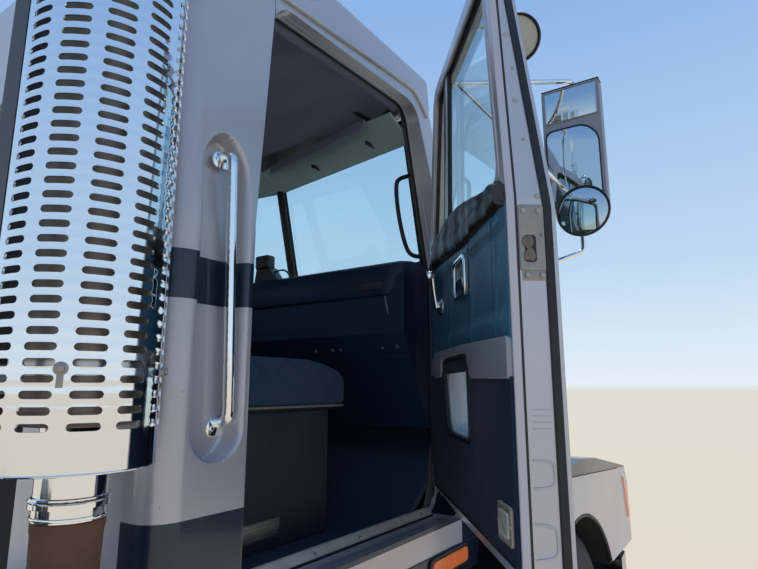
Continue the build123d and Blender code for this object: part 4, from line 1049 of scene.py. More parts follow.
@dataclass
class GrabHandle(Fitting):
    """Chrome grab rail in the recess, with two ear plates and their screws."""

    low: tuple = (0.648, 1.592)
    high: tuple = (0.626, 2.160)
    out_y: float = 1.008
    foot_y: float = 0.980
    radius: float = 0.012

    def build(self) -> None:
        """Make both handles as one piece."""
        parts = []
        for side in (-1, 1):
            low, high = self.low, self.high
            line = [(low[0], side * (self.foot_y - 0.004), low[1]), (low[0], side * self.out_y, low[1] - 0.004),
                    (low[0] - 0.0015, side * self.out_y, low[1] + 0.05),
                    (high[0] + 0.0015, side * self.out_y, high[1] - 0.05),
                    (high[0], side * self.out_y, high[1] + 0.004), (high[0], side * (self.foot_y - 0.004), high[1])]
            parts.append(Shop.sweep(line, self.radius, 16))
            for x, z in (low, high):
                ear = [(x - 0.034 + 0.016 - 0.016 * math.cos(t), side * self.foot_y, z - 0.012 + 0.018 * math.sin(t))
                       for t in np.linspace(-math.pi / 2, math.pi / 2, 9)]
                ear += [(x + 0.008, side * self.foot_y, z + 0.004), (x + 0.008, side * self.foot_y, z - 0.028)]
                parts.append(Shop.plate(ear, (0, side * 0.005, 0), 0.0012))
                screw = (x - 0.021, side * (self.foot_y + 0.004), z - 0.012)
                parts.append(Shop.rod(screw, (screw[0], screw[1] + side * 0.004, screw[2]), 0.006, 12, 0.0018))
        self.lay(Shop.join(parts), "grab_rails", F.CHROME, replaces=["grab_handles"])


@dataclass
class HeatShield(Fitting):
    """Polished guard round the muffler, pierced by rows of slots."""

    centre: tuple = (0.329, -1.028)
    radius: float = 0.1225
    wall: float = 0.0035
    low_z: float = 1.544
    high_z: float = 3.080
    span: tuple = (-210.0, -7.0)
    first_column: float = -170.89
    column_pitch: float = 29.74
    columns: int = 6
    slot_deg: float = 20.4
    slot_high: float = 0.0112
    first_row: float = 1.6077
    row_pitch: float = 0.02166
    rows: int = 67
    side_points: int = 5

    def cell(self, angle: float, z: float) -> tuple[list, list]:
        """Outline of one cell and of the slot in it, matched point for point.

        Args:
            angle: the slot's middle in degrees.
            z: the slot's height.

        Returns:
            The cell's points and the slot's points, as (degrees, height).
        """
        half_a, half_z = self.column_pitch / 2, self.row_pitch / 2
        per_deg = math.radians(1) * self.radius
        arc = self.slot_high / 2
        straight = self.slot_deg / 2 - arc / per_deg
        top = np.linspace(-1, 1, self.side_points)
        outer, inner = [], []
        for t in top:
            outer.append((angle + t * half_a, z + half_z))
            inner.append((angle + t * straight, z + arc))
        for t in (0.75, 0.5, 0.25):
            outer.append((angle + half_a, z + half_z * (2 * t - 1)))
            turn = math.pi * (t - 0.5)
            inner.append((angle + straight + arc * math.cos(turn) / per_deg, z + arc * math.sin(turn)))
        for t in top[::-1]:
            outer.append((angle + t * half_a, z - half_z))
            inner.append((angle + t * straight, z - arc))
        for t in (0.25, 0.5, 0.75):
            outer.append((angle - half_a, z + half_z * (2 * t - 1)))
            turn = math.pi * (t - 0.5)
            inner.append((angle - straight - arc * math.cos(turn) / per_deg, z + arc * math.sin(turn)))
        return outer, inner

    def around(self, angle: float, z: float, radius: float = 0.0) -> tuple:
        """A point on the guard at an angle and height."""
        radius = radius or self.radius
        turn = math.radians(angle)
        return (self.centre[0] + radius * math.cos(turn), self.centre[1] + radius * math.sin(turn), z)

    def build(self) -> None:
        """Make the pierced sheet with rolled edges, its bolts and the muffler's straps."""
        points, faces = [], []
        angles = [self.first_column + k * self.column_pitch for k in range(self.columns)]
        z_low = self.first_row - self.row_pitch / 2
        z_high = z_low + self.rows * self.row_pitch
        for angle in angles:
            for row in range(self.rows):
                outer, inner = self.cell(angle, self.first_row + row * self.row_pitch)
                start = len(points)
                points += [self.around(*p) for p in outer] + [self.around(*p) for p in inner]
                count = len(outer)
                for k in range(count):
                    m = (k + 1) % count
                    faces.append((start + k, start + m, start + count + m, start + count + k))
        grid = []
        for k, angle in enumerate(angles):
            grid += [angle + t * self.column_pitch / 2 for t in np.linspace(-1, 1, self.side_points)[k > 0:]]
        edge_low = np.linspace(self.span[0], grid[0], 6)
        edge_high = np.linspace(grid[-1], self.span[1], 2)
        every = list(edge_low[:-1]) + grid + list(edge_high[1:])
        for low, high in ((self.low_z, z_low), (z_high, self.high_z)):
            self.strip(points, faces, every, np.linspace(low, high, 3))
        side_rows = []
        for row in range(self.rows):
            z = self.first_row + row * self.row_pitch
            side_rows += [z + (2 * t - 1) * self.row_pitch / 2 for t in (0, 0.25, 0.5, 0.75)]
        side_rows.append(z_high)
        for edge in (edge_low, edge_high):
            self.strip(points, faces, list(edge), side_rows)
        sheet = Shop.tidy(Shop.mesh("guard", points, faces))
        middle = sheet.data.polygons[0]
        away = Vector((middle.center[0] - self.centre[0], middle.center[1] - self.centre[1], 0))
        if middle.normal.dot(away) < 0:
            sheet.data.flip_normals()
        Shop.modify(sheet, "SOLIDIFY", thickness=self.wall, offset=-1)
        parts = [sheet]
        for z in (self.low_z + 0.0015, self.high_z - 0.0015):
            turns = np.linspace(self.span[0] + 1, self.span[1] - 1, 40)
            ring = [self.around(a, z, self.radius - 0.0015) for a in turns]
            parts.append(Shop.sweep(ring, 0.0022, 8))
        self.lay(Shop.join(parts), "pierced_guard", F.SHIELD, replaces=["heat_shield"])
        bolts = []
        for z in (1.686, 2.500, 2.82):
            for angle in (-127.6, -39.5, -187.0):
                foot = Vector(self.around(angle, z, self.radius - 0.002))
                head = Vector(self.around(angle, z, self.radius + 0.003))
                out = (head - foot).normalized()
                bolts.append(Shop.rod(foot, head, 0.0095, 20, 0.001))
                bolts.append(Shop.rod(head, head + out * 0.0045, 0.0065, 6, 0.001))
                low, high = Vector(self.around(angle - 2.0, z - 0.026)), Vector(self.around(angle + 2.0, z - 0.026))
                tab = [low, high, Vector(self.around(angle + 2.0, z)), Vector(self.around(angle - 2.0, z))]
                bolts.append(Shop.plate(tab, out * 0.002, 0.0006))
        for angle, z in ((-166.0, 1.572), (-100.0, 3.05)):
            foot = Vector(self.around(angle, z, self.radius - 0.001))
            head = Vector(self.around(angle, z, self.radius + 0.004))
            bolts.append(Shop.rod(foot, head, 0.006, 16, 0.002))
        self.lay(Shop.join(bolts), "guard_bolts", F.LATCH)
        straps = []
        for z in (1.689, 2.503, 2.823):
            ring = [(0.097, -0.012), (0.100, -0.012), (0.1005, 0), (0.100, 0.012), (0.097, 0.012)]
            straps.append(Shop.lathe(ring, (*STACK, z), (0, 0, 1), 48))
        self.lay(Shop.join(straps), "muffler_straps", F.STEEL)

    def strip(self, points: list, faces: list, angles: Sequence[float], rows: Sequence[float]) -> None:
        """Add a plain patch of the sheet to the points and faces."""
        start = len(points)
        wide = len(angles)
        for z in rows:
            points += [self.around(a, z) for a in angles]
        for i in range(len(rows) - 1):
            for j in range(wide - 1):
                a = start + i * wide + j
                faces.append((a, a + 1, a + wide + 1, a + wide))


@dataclass
class StackSleeve(Fitting):
    """Beads on the chrome sleeve, the rusty collar under it and the stack's tip."""

    centre: tuple = STACK
    radius: float = 0.051

    def build(self) -> None:
        """Make the beads, the collar and the tip."""
        rings = []
        for z, lift, half in ((1.4985, 0.0062, 0.006), (1.540, 0.003, 0.004), (1.4745, 0.002, 0.003)):
            bead = [(self.radius - 0.001, -half), (self.radius + lift * 0.7, -half * 0.6), (self.radius + lift, 0),
                    (self.radius + lift * 0.7, half * 0.6), (self.radius - 0.001, half)]
            rings.append(Shop.lathe(bead, (*self.centre, z), (0, 0, 1), 56))
        self.lay(Shop.join(rings), "sleeve_beads", F.CHROME)
        collar = [(0.047, -0.055), (0.0485, -0.053), (0.0492, -0.02), (0.0508, -0.012), (0.0508, -0.002), (0.047, 0.0)]
        self.lay(Shop.lathe(collar, (*self.centre, 1.470), (0, 0, 1), 48), "pipe_collar", F.RUST, 32)
        tip = [(0.0515, -0.30), (0.0525, -0.298), (0.0525, -0.012), (0.0535, 0.0), (0.0505, 0.0), (0.049, -0.012),
               (0.049, -0.298)]
        self.lay(Shop.lathe(tip, (*self.centre, 3.478), (0, 0, 1), 48, closed=True), "stack_tip", F.CHROME, 32)


# ---------------------------------------------------------------- doors
@dataclass
class Doors:
    """Inside trim, seals, latch, handles and window channels, drawn on the shut right door."""

    face: float = -0.925
    rear: float = 0.703
    front: float = 1.610
    low_z: float = 1.352
    band_low: float = 1.679
    band_high: float = 1.762
    lean: float = 0.128
    peep: tuple = ((1.022, 1.539), (1.313, 1.540), (1.363, 1.733), (1.060, 1.731))
    strip_top: tuple = ((0.690, 2.042), (0.750, 2.066), (0.843, 2.078), (1.011, 2.117), (1.155, 2.137), (1.271, 2.139),
                        (1.445, 2.127), (1.600, 2.105))
    strip_low: tuple = ((0.690, 2.006), (0.746, 2.000), (0.869, 2.008), (1.026, 2.006), (1.197, 2.022), (1.418, 2.038),
                        (1.600, 2.040))
    cup: tuple = (1.076, 1.936)

    def put(self, piece: bpy.types.Object, name: str, finish: Finish, smooth: float = 32,
            sides: Sequence[Side] = tuple(Side)) -> None:
        """Place copies of a piece on the open right door and on the shut left one."""
        for side in sides:
            made = Shop.copy(piece, SWING if side is Side.RIGHT else MIRROR)
            PIECES.fit(made, f"{name}_{side.value}", finish, f"door_{side.value}", (), smooth)
        bpy.data.objects.remove(piece)

    def edge(self, z: float) -> float:
        """Where the door's rear edge is at a height."""
        return 0.700 + max(0.0, z - 2.015) * self.lean

    def build(self) -> None:
        """Make every piece of both doors."""
        self.lower_panel()
        self.vinyl()
        self.belt_strip()
        self.fittings()
        self.end_face()
        self.window()
        self.outside()

    def lower_panel(self) -> None:
        """Navy carpet below, the grey band over it, and the low window's rim."""
        outline = rounded([(self.rear, self.low_z), (1.560, self.low_z), (self.front, 1.42), (self.front, 1.700),
                           (self.rear, 1.700)], 0.02)
        hole = rounded(self.peep, 0.032, 6)
        wide = rounded([(1.012, 1.529), (1.322, 1.530), (1.375, 1.743), (1.050, 1.741)], 0.036, 6)
        for side, holes in ((Side.RIGHT, [on_y(wide, self.face)]), (Side.LEFT, [])):
            panel = Shop.panel(on_y(outline, self.face), (0, 0.007, 0), holes, 0.003, 3)
            self.put(panel, "door_carpet", F.CARPET, 32, (side,))
        band = rounded([(self.rear - 0.001, self.band_low - 0.003), (1.000, self.band_low + 0.003), (1.014, 1.700),
                        (1.046, 1.7445), (1.378, 1.746), (1.392, 1.692), (1.500, 1.692), (1.500, 1.772),
                        (1.080, 1.767), (self.rear - 0.001, 1.754)], 0.010)
        self.put(Shop.panel(on_y(band, self.face), (0, 0.0115, 0), (), 0.0045, 3), "door_band", F.BAND, 32,
                 (Side.RIGHT,))
        plain = rounded([(self.rear - 0.001, self.band_low - 0.003), (1.500, self.band_low + 0.013),
                         (1.500, 1.772), (1.080, 1.767), (self.rear - 0.001, 1.754)], 0.010)
        self.put(Shop.panel(on_y(plain, self.face), (0, 0.0115, 0), (), 0.0045, 3), "door_band_plain", F.BAND, 32,
                 (Side.LEFT,))
        rim = Shop.panel(on_y(wide, self.face - 0.003), (0, 0.0125, 0), [on_y(hole, self.face - 0.003)], 0.003, 3)
        self.put(rim, "low_window_rim", F.RUBBER, 32, (Side.RIGHT,))
        tunnel = Shop.panel(on_y(wide, self.face - 0.006), (0, -0.022, 0), [on_y(hole, self.face - 0.006)], 0.002)
        self.put(tunnel, "low_window_liner", F.JAMB, 32, (Side.RIGHT,))
        welt = [(x, self.face + 0.006, self.low_z + 0.004) for x in np.linspace(self.rear + 0.01, 1.55, 5)]
        self.put(Shop.sweep(welt, 0.0035, 8), "carpet_welt", F.RUBBER)

    def room(self, x: float) -> float:
        """How thick the trim may be, so that it passes the dashboard's end when the door shuts."""
        return 0.005 + max(0.0, 1.466 - x)

    def vinyl(self) -> None:
        """Padded teal panel with two upright stitched folds."""
        xs = np.unique(np.concatenate([np.linspace(self.rear, self.front, 60), np.linspace(0.755, 0.785, 9),
                                       np.linspace(0.965, 0.995, 9), np.linspace(1.225, 1.255, 9)]))
        rings = []
        for x in xs:
            low = self.band_high - 0.012 + 0.010 * min(1.0, (x - self.rear) / 0.3)
            high = along(self.strip_low, x) + 0.014
            rise = np.linspace(0, 1, 26)
            ends = min(1.0, (x - self.rear) / 0.03, (self.front - x) / 0.03)
            fold = sum(math.exp(-((x - seam) / 0.0045) ** 2) for seam in (0.770, 0.980, 1.240))
            side = math.sqrt(max(0.0, 1 - (1 - ends) ** 2))
            puff = 0.006 * math.sin(math.pi * min(1.0, abs(x - 0.875) / 0.21)) if x < 1.085 else 0.005
            round_off = np.minimum(1, np.sqrt(np.clip(1 - (1 - np.minimum(rise, 1 - rise) / 0.10) ** 2, 0, 1)))
            depth = 0.003 + side * (0.007 + puff * np.sin(math.pi * rise)) * np.maximum(round_off, 0.05)
            depth = np.minimum(depth * (1 - 0.62 * fold), self.room(x))
            ring = [(x, self.face + d, low + (high - low) * t) for d, t in zip(depth, rise)]
            rings.append(ring + [(x, self.face, high), (x, self.face, low)])
        self.put(Shop.loft(np.array(rings)), "door_vinyl", F.TEAL, 50)
        for seam in (0.770, 0.980):
            dashes = []
            for z in np.arange(1.772, 1.992, 0.0085):
                foot = (seam + 0.0055, self.face + 0.0112, z)
                dashes.append(Shop.rod(foot, (foot[0], foot[1] + 0.0006, z + 0.0055), 0.0007, 6, 0.0002))
            self.put(Shop.join(dashes), f"stitches_{int(seam * 1000)}", F.CARPET, 60)

    def belt_strip(self) -> None:
        """Black strip along the belt, sagging and creased with age."""
        def section(x: float) -> list:
            """The ring of points at one x."""
            high, low = along(self.strip_top, x), along(self.strip_low, x)
            turn = np.linspace(-math.pi / 2, math.pi / 2, 15)
            sag = 0.003 * math.sin(x * 37) + 0.002 * math.sin(x * 83 + 1)
            ring = []
            for a in turn:
                t = (math.sin(a) + 1) / 2
                fold = 0.0055 * math.exp(-((t - 0.62 - 0.12 * math.sin(x * 11)) / 0.10) ** 2)
                out = min(0.006 + (0.020 + sag) * math.cos(a) ** 0.6 - fold, self.room(x))
                ring.append((x, self.face + out, low + (high - low) * t))
            return ring + [(x, self.face, high), (x, self.face, low)]
        self.put(Shop.ribbon(np.linspace(0.704, 1.600, 70), section), "belt_strip", F.BLACK, 60)
        hood = [(0.709, self.face + 0.004, 2.012), (0.709, self.face + 0.016, 2.035), (0.716, self.face + 0.010, 2.052)]
        self.put(Shop.sweep(hood, 0.0085, 12), "belt_strip_end", F.BLACK, 60)

    def fittings(self) -> None:
        """Release handle, window crank, courtesy lamp and pull grip."""
        x, z = self.cup
        front = self.face + 0.012
        ring = card((x - 0.068, z - 0.054), (x + 0.068, z + 0.054), 0.026, 6)
        hole = card((x - 0.054, z - 0.042), (x + 0.054, z + 0.042), 0.018, 6)
        self.put(Shop.panel(on_y(ring, self.face + 0.004), (0, 0.0135, 0), [on_y(hole, self.face + 0.004)], 0.0035, 4),
                 "release_bezel", F.CHROME, 60)
        self.put(Shop.panel(on_y(hole, self.face + 0.003), (0, 0.0055, 0), (), 0.001), "release_dish", F.BLACK)
        paddle = rounded([(x - 0.046, z - 0.030), (x + 0.040, z - 0.034), (x + 0.046, z - 0.006),
                          (x - 0.046, z - 0.004)], 0.010, 5)
        self.put(Shop.panel(on_y(paddle, front + 0.0005), (0, 0.004, 0), (), 0.0018, 3), "release_paddle", F.CHROME, 60)
        base = (1.392, self.face, 1.905)
        dish = [(0, 0.0), (0.028, 0.0), (0.027, 0.006), (0.020, 0.012), (0.015, 0.016), (0, 0.017)]
        arm = [(1.392, self.face + 0.018, 1.905), (1.388, self.face + 0.023, 1.930), (1.380, self.face + 0.030, 1.975),
               (1.376, self.face + 0.032, 2.002)]
        crank = [Shop.lathe(dish, base, (0, 1, 0), 32), Shop.sweep(arm, 0.0085, 12),
                 Shop.rod((1.376, self.face + 0.024, 2.004), (1.376, self.face + 0.052, 2.004), 0.0135, 24, 0.004)]
        self.put(Shop.join(crank), "window_crank", F.CHROME, 60)
        plate = card((0.7155, 1.386), (0.800, 1.452), 0.006)
        self.put(Shop.panel(on_y(plate, self.face + 0.006), (0, 0.006, 0), (), 0.002, 3), "lamp_plate", F.LAMP_PLATE)
        lens = card((0.727, 1.397), (0.788, 1.441), 0.008)
        self.put(Shop.panel(on_y(lens, self.face + 0.012), (0, 0.0035, 0), (), 0.0015, 3), "lamp_lens", F.FOGGED)
        heads = [Shop.rod((px, self.face + 0.0115, pz), (px, self.face + 0.0145, pz), 0.0035, 12, 0.001)
                 for px, pz in ((0.7205, 1.419), (0.795, 1.419))]
        self.put(Shop.join(heads), "lamp_screws", F.ZINC, 60)
        grip = [(1.25, self.face + 0.006, 1.722), (1.27, self.face + 0.034, 1.728), (1.42, self.face + 0.042, 1.735),
                (1.475, self.face + 0.034, 1.733), (1.490, self.face + 0.006, 1.728)]
        self.put(Shop.sweep(grip, 0.011, 12), "pull_grip", F.BLACK, 60, (Side.LEFT,))

    def column(self, low_y: float, high_y: float, lift: float, low: float, high: float, follow: float) -> object:
        """A strip on the rear end face from one height to another, leaning in by a share of the skin's lean."""
        def section(z: float) -> list:
            """The ring of points at one height."""
            shift = LEAN * max(0.0, z - LEAN_Z) * follow
            x = self.edge(z)
            a, b = low_y + shift, high_y + shift
            soft = min(lift * 0.5, 0.002)
            return [(x + 0.001, a, z), (x - lift + soft, a, z), (x - lift, a + soft, z), (x - lift, b - soft, z),
                    (x - lift + soft, b, z), (x + 0.001, b, z)]
        return Shop.ribbon(np.concatenate([np.linspace(low, 2.0, 8), np.linspace(2.02, high, 12)]), section)

    def end_face(self) -> None:
        """Strips, seal, latch and stampings on the rear end face."""
        self.put(self.column(-0.9405, -0.9245, 0.0025, 1.350, 2.600, 0.0), "edge_trim", F.JAMB, 40)
        self.put(self.column(-0.9455, -0.9405, 0.0008, 1.345, 2.600, 0.0), "edge_groove", F.RUBBER, 40)
        self.put(self.column(-1.0120, -0.9960, 0.0022, 1.300, 2.500, 0.97), "edge_seal", F.RUBBER, 40)
        self.put(self.column(-0.9965, -0.9945, 0.0026, 1.300, 2.500, 0.97), "edge_seal_lip", F.BLACK, 40)
        plate = card((-0.995, 1.876), (-0.9465, 2.004), 0.005)
        hole = card((-0.978, 1.892), (-0.956, 1.944), 0.006)
        self.put(Shop.panel(on_x(plate, 0.7005), (-0.003, 0, 0), [on_x(hole, 0.7005)], 0.0008), "latch_plate", F.LATCH)
        self.put(Shop.panel(on_x(hole, 0.6995), (-0.0008, 0, 0), (), 0.0002), "latch_slot", F.BLACK)
        foot = card((-0.996, 1.857), (-0.950, 1.879), 0.004)
        self.put(Shop.panel(on_x(foot, 0.7005), (-0.0018, 0, 0), (), 0.0006), "latch_foot", F.LATCH)
        claws = []
        for y, z, turn in ((-0.962, 1.931, 0.3), (-0.965, 1.905, -0.4)):
            ring = [(y + 0.011 * math.cos(a + turn), z + (0.013 + 0.003 * math.cos(3 * a)) * math.sin(a + turn))
                    for a in np.linspace(0, 2 * math.pi, 16, endpoint=False)]
            claws.append(Shop.panel(on_x(ring, 0.6985), (-0.0032, 0, 0), (), 0.0014, 3))
            claws.append(Shop.rod((0.6960, y, z), (0.6942, y, z), 0.0035, 12, 0.001))
        self.put(Shop.join(claws), "latch_claws", F.WORN_IRON, 50)
        screws = [(-0.956, 1.992, 0.0058), (-0.986, 1.992, 0.0058), (-0.959, 1.867, 0.0058), (-0.988, 1.867, 0.0058),
                  (-0.956, 2.400, 0.006), (-0.962, 2.236, 0.006), (-0.986, 2.022, 0.0055), (-0.962, 2.315, 0.0032),
                  (-0.970, 2.146, 0.0032), (-0.990, 1.945, 0.0035)]
        heads = []
        for y, z, radius in screws:
            x = self.edge(z)
            cup = [(0, 0.0026), (radius * 0.30, 0.0024), (radius * 0.36, 0.0016), (radius * 0.62, 0.0028),
                   (radius * 0.85, 0.0022), (radius, 0.0004), (radius, -0.001)]
            away = 0.0026 if z < 2.01 else 0.0
            heads.append(Shop.lathe(cup, (x - away, y, z), (-1, 0, -0.02), 20))
        self.put(Shop.join(heads), "end_screws", F.ZINC, 50)
        stamps = []
        for y_in, y_out, low, high in ((-0.952, -0.990, 1.488, 1.535), (-0.952, -0.989, 1.372, 1.429)):
            middle, half = (low + high) / 2, (high - low) / 2
            line = [(0.6998, y_in, low), (0.6998, y_out + half * 0.7, low), (0.6998, y_out, low + half * 0.25),
                    (0.6998, y_out, middle), (0.6998, y_out, high - half * 0.25), (0.6998, y_out + half * 0.7, high),
                    (0.6998, y_in, high)]
            stamps.append(Shop.sweep(line, 0.0022, 8))
        for z in (1.589, 1.600, 1.611, 1.622):
            stamps.append(Shop.rod((0.7004, -0.956, z), (0.7004, -0.990, z), 0.0014, 8, 0.0004))
        self.put(Shop.join(stamps), "end_stampings", F.JAMB, 60)

    def window(self) -> None:
        """Run channel, inner surround and divider bar of the window."""
        outer = rounded([(0.730, 2.060), (1.608, 2.060), (1.440, 2.643), (0.808, 2.608)], 0.05, 6)
        inner = rounded([(0.753, 2.080), (1.582, 2.080), (1.424, 2.621), (0.824, 2.588)], 0.045, 6)
        rubber = Shop.panel(on_y(outer, -0.9465), (0, 0.0105, 0), [on_y(inner, -0.9465)], 0.002)
        self.put(rubber, "run_channel", F.RUBBER, 40)
        inset = rounded([(0.747, 2.076), (1.588, 2.076), (1.428, 2.626), (0.820, 2.592)], 0.045, 6)
        trim = Shop.panel(on_y(outer, self.face - 0.003), (0, 0.0055, 0), [on_y(inset, self.face - 0.003)], 0.0022, 3)
        self.put(trim, "window_surround", F.JAMB, 40)
        for x, finish, half, y, name in ((1.355, F.RUBBER, 0.010, -0.9415, "divider_seal"),
                                         (1.330, F.STEEL, 0.011, -0.9400, "divider_bar"),
                                         (1.306, F.RUBBER, 0.008, -0.9425, "divider_run")):
            low, high = (x + 0.004, 2.066), (x - 0.052, 2.618)
            bar = [(low[0] - half, y, low[1]), (low[0] + half, y, low[1]), (high[0] + half, y, high[1]),
                   (high[0] - half, y, high[1])]
            self.put(Shop.panel(bar, (0, 0.012, 0), (), 0.0025, 3), name, finish, 40)

    def outside(self) -> None:
        """Outside handle in its well, lock and hinge screws."""
        skin = -SKIN_Y
        bezel = card((0.762, 1.700), (0.902, 1.792), 0.018, 5)
        hole = card((0.770, 1.708), (0.894, 1.784), 0.013, 5)
        self.put(Shop.panel(on_y(bezel, skin + 0.001), (0, -0.0045, 0), [on_y(hole, skin + 0.001)], 0.0015, 3),
                 "handle_bezel", F.CHROME, 50)
        self.put(Shop.panel(on_y(hole, skin + 0.0008), (0, -0.0012, 0), (), 0.0002), "handle_well", F.BLACK)
        paddle = rounded([(0.776, 1.744), (0.888, 1.744), (0.886, 1.780), (0.778, 1.780)], 0.008)
        self.put(Shop.panel(on_y(paddle, skin - 0.002), (0, -0.007, 0), (), 0.003, 3), "handle_paddle", F.CHROME, 50)
        lock = [(0, 0.004), (0.004, 0.004), (0.005, 0.003), (0.0105, 0.0035), (0.0115, 0.0), (0.0115, -0.002)]
        self.put(Shop.lathe(lock, (0.832, skin, 1.668), (0, -1, 0), 28), "door_lock", F.CHROME, 50)
        screws = []
        for z in (1.400, 1.860):
            for x in (1.607, 1.640):
                for dz in (-0.011, 0.011):
                    foot = (x, skin - 0.005, z + dz)
                    screws.append(Shop.rod(foot, (x, skin - 0.0085, z + dz), 0.0038, 12, 0.001))
        self.put(Shop.join(screws), "hinge_screws", F.ZINC, 50)


# ---------------------------------------------------------------- mirrors
@dataclass
class Mirrors:
    """Tall mirrors on tubes, each with a round mirror, and the look-down mirror on the right."""

    centre: tuple = (1.573, -1.458, 2.5475)
    half_wide: float = 0.106
    half_high: float = 0.2405
    depth: float = 0.046
    toe: dict = field(default_factory=lambda: {Side.RIGHT: 38.0, Side.LEFT: 22.0})
    round_radius: float = 0.093
    tube: float = 0.0095

    def build(self) -> None:
        """Make both mirrors."""
        for side in Side:
            toe = math.radians(self.toe[side])
            local = Matrix(((math.sin(toe), 0, -math.cos(toe), 0), (math.cos(toe), 0, math.sin(toe), 0),
                            (0, 1, 0, 0), (0, 0, 0, 1)))
            shut = Matrix.Translation(self.centre) @ local
            place = (SWING if side is Side.RIGHT else MIRROR) @ shut
            self.head(side, place)
            self.tubes(side, shut)
        self.look_down()

    def put(self, piece: bpy.types.Object, name: str, finish: Finish, side: Side, place: Matrix,
            replaces: Sequence[str] = (), smooth: float = 50) -> None:
        """Place one piece drawn in the mirror's own frame."""
        made = Shop.copy(piece, place)
        bpy.data.objects.remove(piece)
        if place.to_3x3().determinant() < 0:
            Shop.tidy(made)
        PIECES.fit(made, f"{name}_{side.value}", finish, f"door_{side.value}", replaces, smooth)

    def head(self, side: Side, place: Matrix) -> None:
        """Shell, cap, the two glasses, and the round mirror under them."""
        w, h = self.half_wide, self.half_high
        shell = Shop.panel(on_z(card((-w, -h), (w, h - 0.003), 0.016, 5), -self.depth),
                           (0, 0, self.depth), (), 0.006, 4)
        self.put(shell, "mirror_shell", F.MIRROR_SHELL, side, place, [f"mirror_{side.value}"])
        cap = Shop.panel(on_z(card((-w, h - 0.0055), (w, h), 0.002), -self.depth + 0.002),
                         (0, 0, self.depth - 0.001), (), 0.0015)
        bolt = [(0.012, -0.001), (0.011, 0.005), (0.007, 0.008), (0.0045, 0.017), (0.0012, 0.023), (0, 0.024)]
        nut = Shop.lathe(bolt, (-0.010, h - 0.001, -0.022), (0, 1, 0), 20)
        self.put(Shop.join([cap, nut]), "mirror_cap", F.BLACK, side, place)
        upper = card((-0.094, 0.104), (0.094, 0.228), 0.008)
        lower = rounded([(-0.0905, -0.232), (0.094, -0.232), (0.094, 0.068), (-0.045, 0.068), (-0.0905, 0.018)],
                        0.03, 6)
        for outline, name in ((upper, "upper"), (lower, "lower")):
            self.put(Shop.panel(on_z(outline, -0.001), (0, 0, 0.0022), (), 0.0006), f"mirror_glass_{name}", F.MIRROR,
                     side, place)
            grown = [(x * 1.05 + (0.0002 if x > 0 else -0.0002), y + (0.005 if y > (0.16 if name == "upper" else -0.08)
                                                                        else -0.005)) for x, y in outline]
            lip = Shop.panel(on_z(grown, -0.001), (0, 0, 0.0045), [on_z(outline, -0.001)], 0.0015, 3)
            self.put(lip, f"mirror_lip_{name}", F.RUBBER if name == "lower" else F.MIRROR_SHELL, side, place)
        foot = (-0.028, 2.276 - self.centre[2], 0.026)
        r = self.round_radius
        back = [(0, -0.006), (r * 0.5, -0.004), (r * 0.9, 0.003), (r, 0.009), (r, 0.015), (r * 0.97, 0.0175),
                (r * 0.92, 0.0165)]
        glass = [(r * 0.925, 0.0125), (r * 0.75, 0.0165), (r * 0.5, 0.0195), (r * 0.25, 0.0213), (0, 0.0219)]
        self.put(Shop.lathe(back, foot, (0, 0, 1), 56), "round_mirror_shell", F.BLACK, side, place)
        self.put(Shop.lathe(glass, foot, (0, 0, 1), 64), "round_mirror_glass", F.MIRROR, side, place, (), 70)

    def tubes(self, side: Side, shut: Matrix) -> None:
        """Bent tubes with their feet on the door."""
        behind = -(self.depth + self.tube - 0.004)
        top, low = (shut @ Vector((0, z - self.centre[2], behind)) for z in (2.828, 2.150))
        foot_high, foot_low = Vector((1.350, -0.987, 2.645)), Vector((1.475, -1.034, 1.965))
        stay = shut @ Vector((0, 2.327 - self.centre[2], behind))
        r = 0.045

        def near(a: Vector, b: Vector) -> Vector:
            """The point a little way from a towards b."""
            return a + (b - a).normalized() * r

        line = [foot_high + Vector((0, 0.010, 0)), near(foot_high, top), near(top, foot_high), top, near(top, low),
                near(low, top), low, near(low, foot_low), near(foot_low, low), foot_low + Vector((0, 0.012, 0))]
        low_local = shut @ Vector((-0.028, 2.276 - self.centre[2], 0.022))
        post = shut @ Vector((0, 2.276 - self.centre[2], behind))
        parts = [Shop.sweep(line, self.tube, 16), Shop.rod(foot_high, stay, self.tube - 0.002, 16),
                 Shop.rod(post, low_local, 0.009, 16)]
        for foot in (foot_high, foot_low):
            skin_y = -SKIN_Y + LEAN * max(foot.z - LEAN_Z, 0)
            dish = [(0, 0.016), (0.009, 0.015), (0.012, 0.006), (0.019, 0.003), (0.0195, 0.0), (0.0195, -0.003)]
            parts.append(Shop.lathe(dish, (foot.x, skin_y, foot.z), (0, -1, 0), 24))
        clamp = [(self.tube, -0.010), (self.tube + 0.004, -0.008), (self.tube + 0.004, 0.008), (self.tube, 0.010)]
        parts += [Shop.lathe(clamp, (post.x, post.y, z), (0, 0, 1), 20) for z in (2.276, 2.36, 2.74)]
        joined = Shop.join(parts)
        self.put(joined, "mirror_tubes", F.CHROME, side, SWING if side is Side.RIGHT else MIRROR)

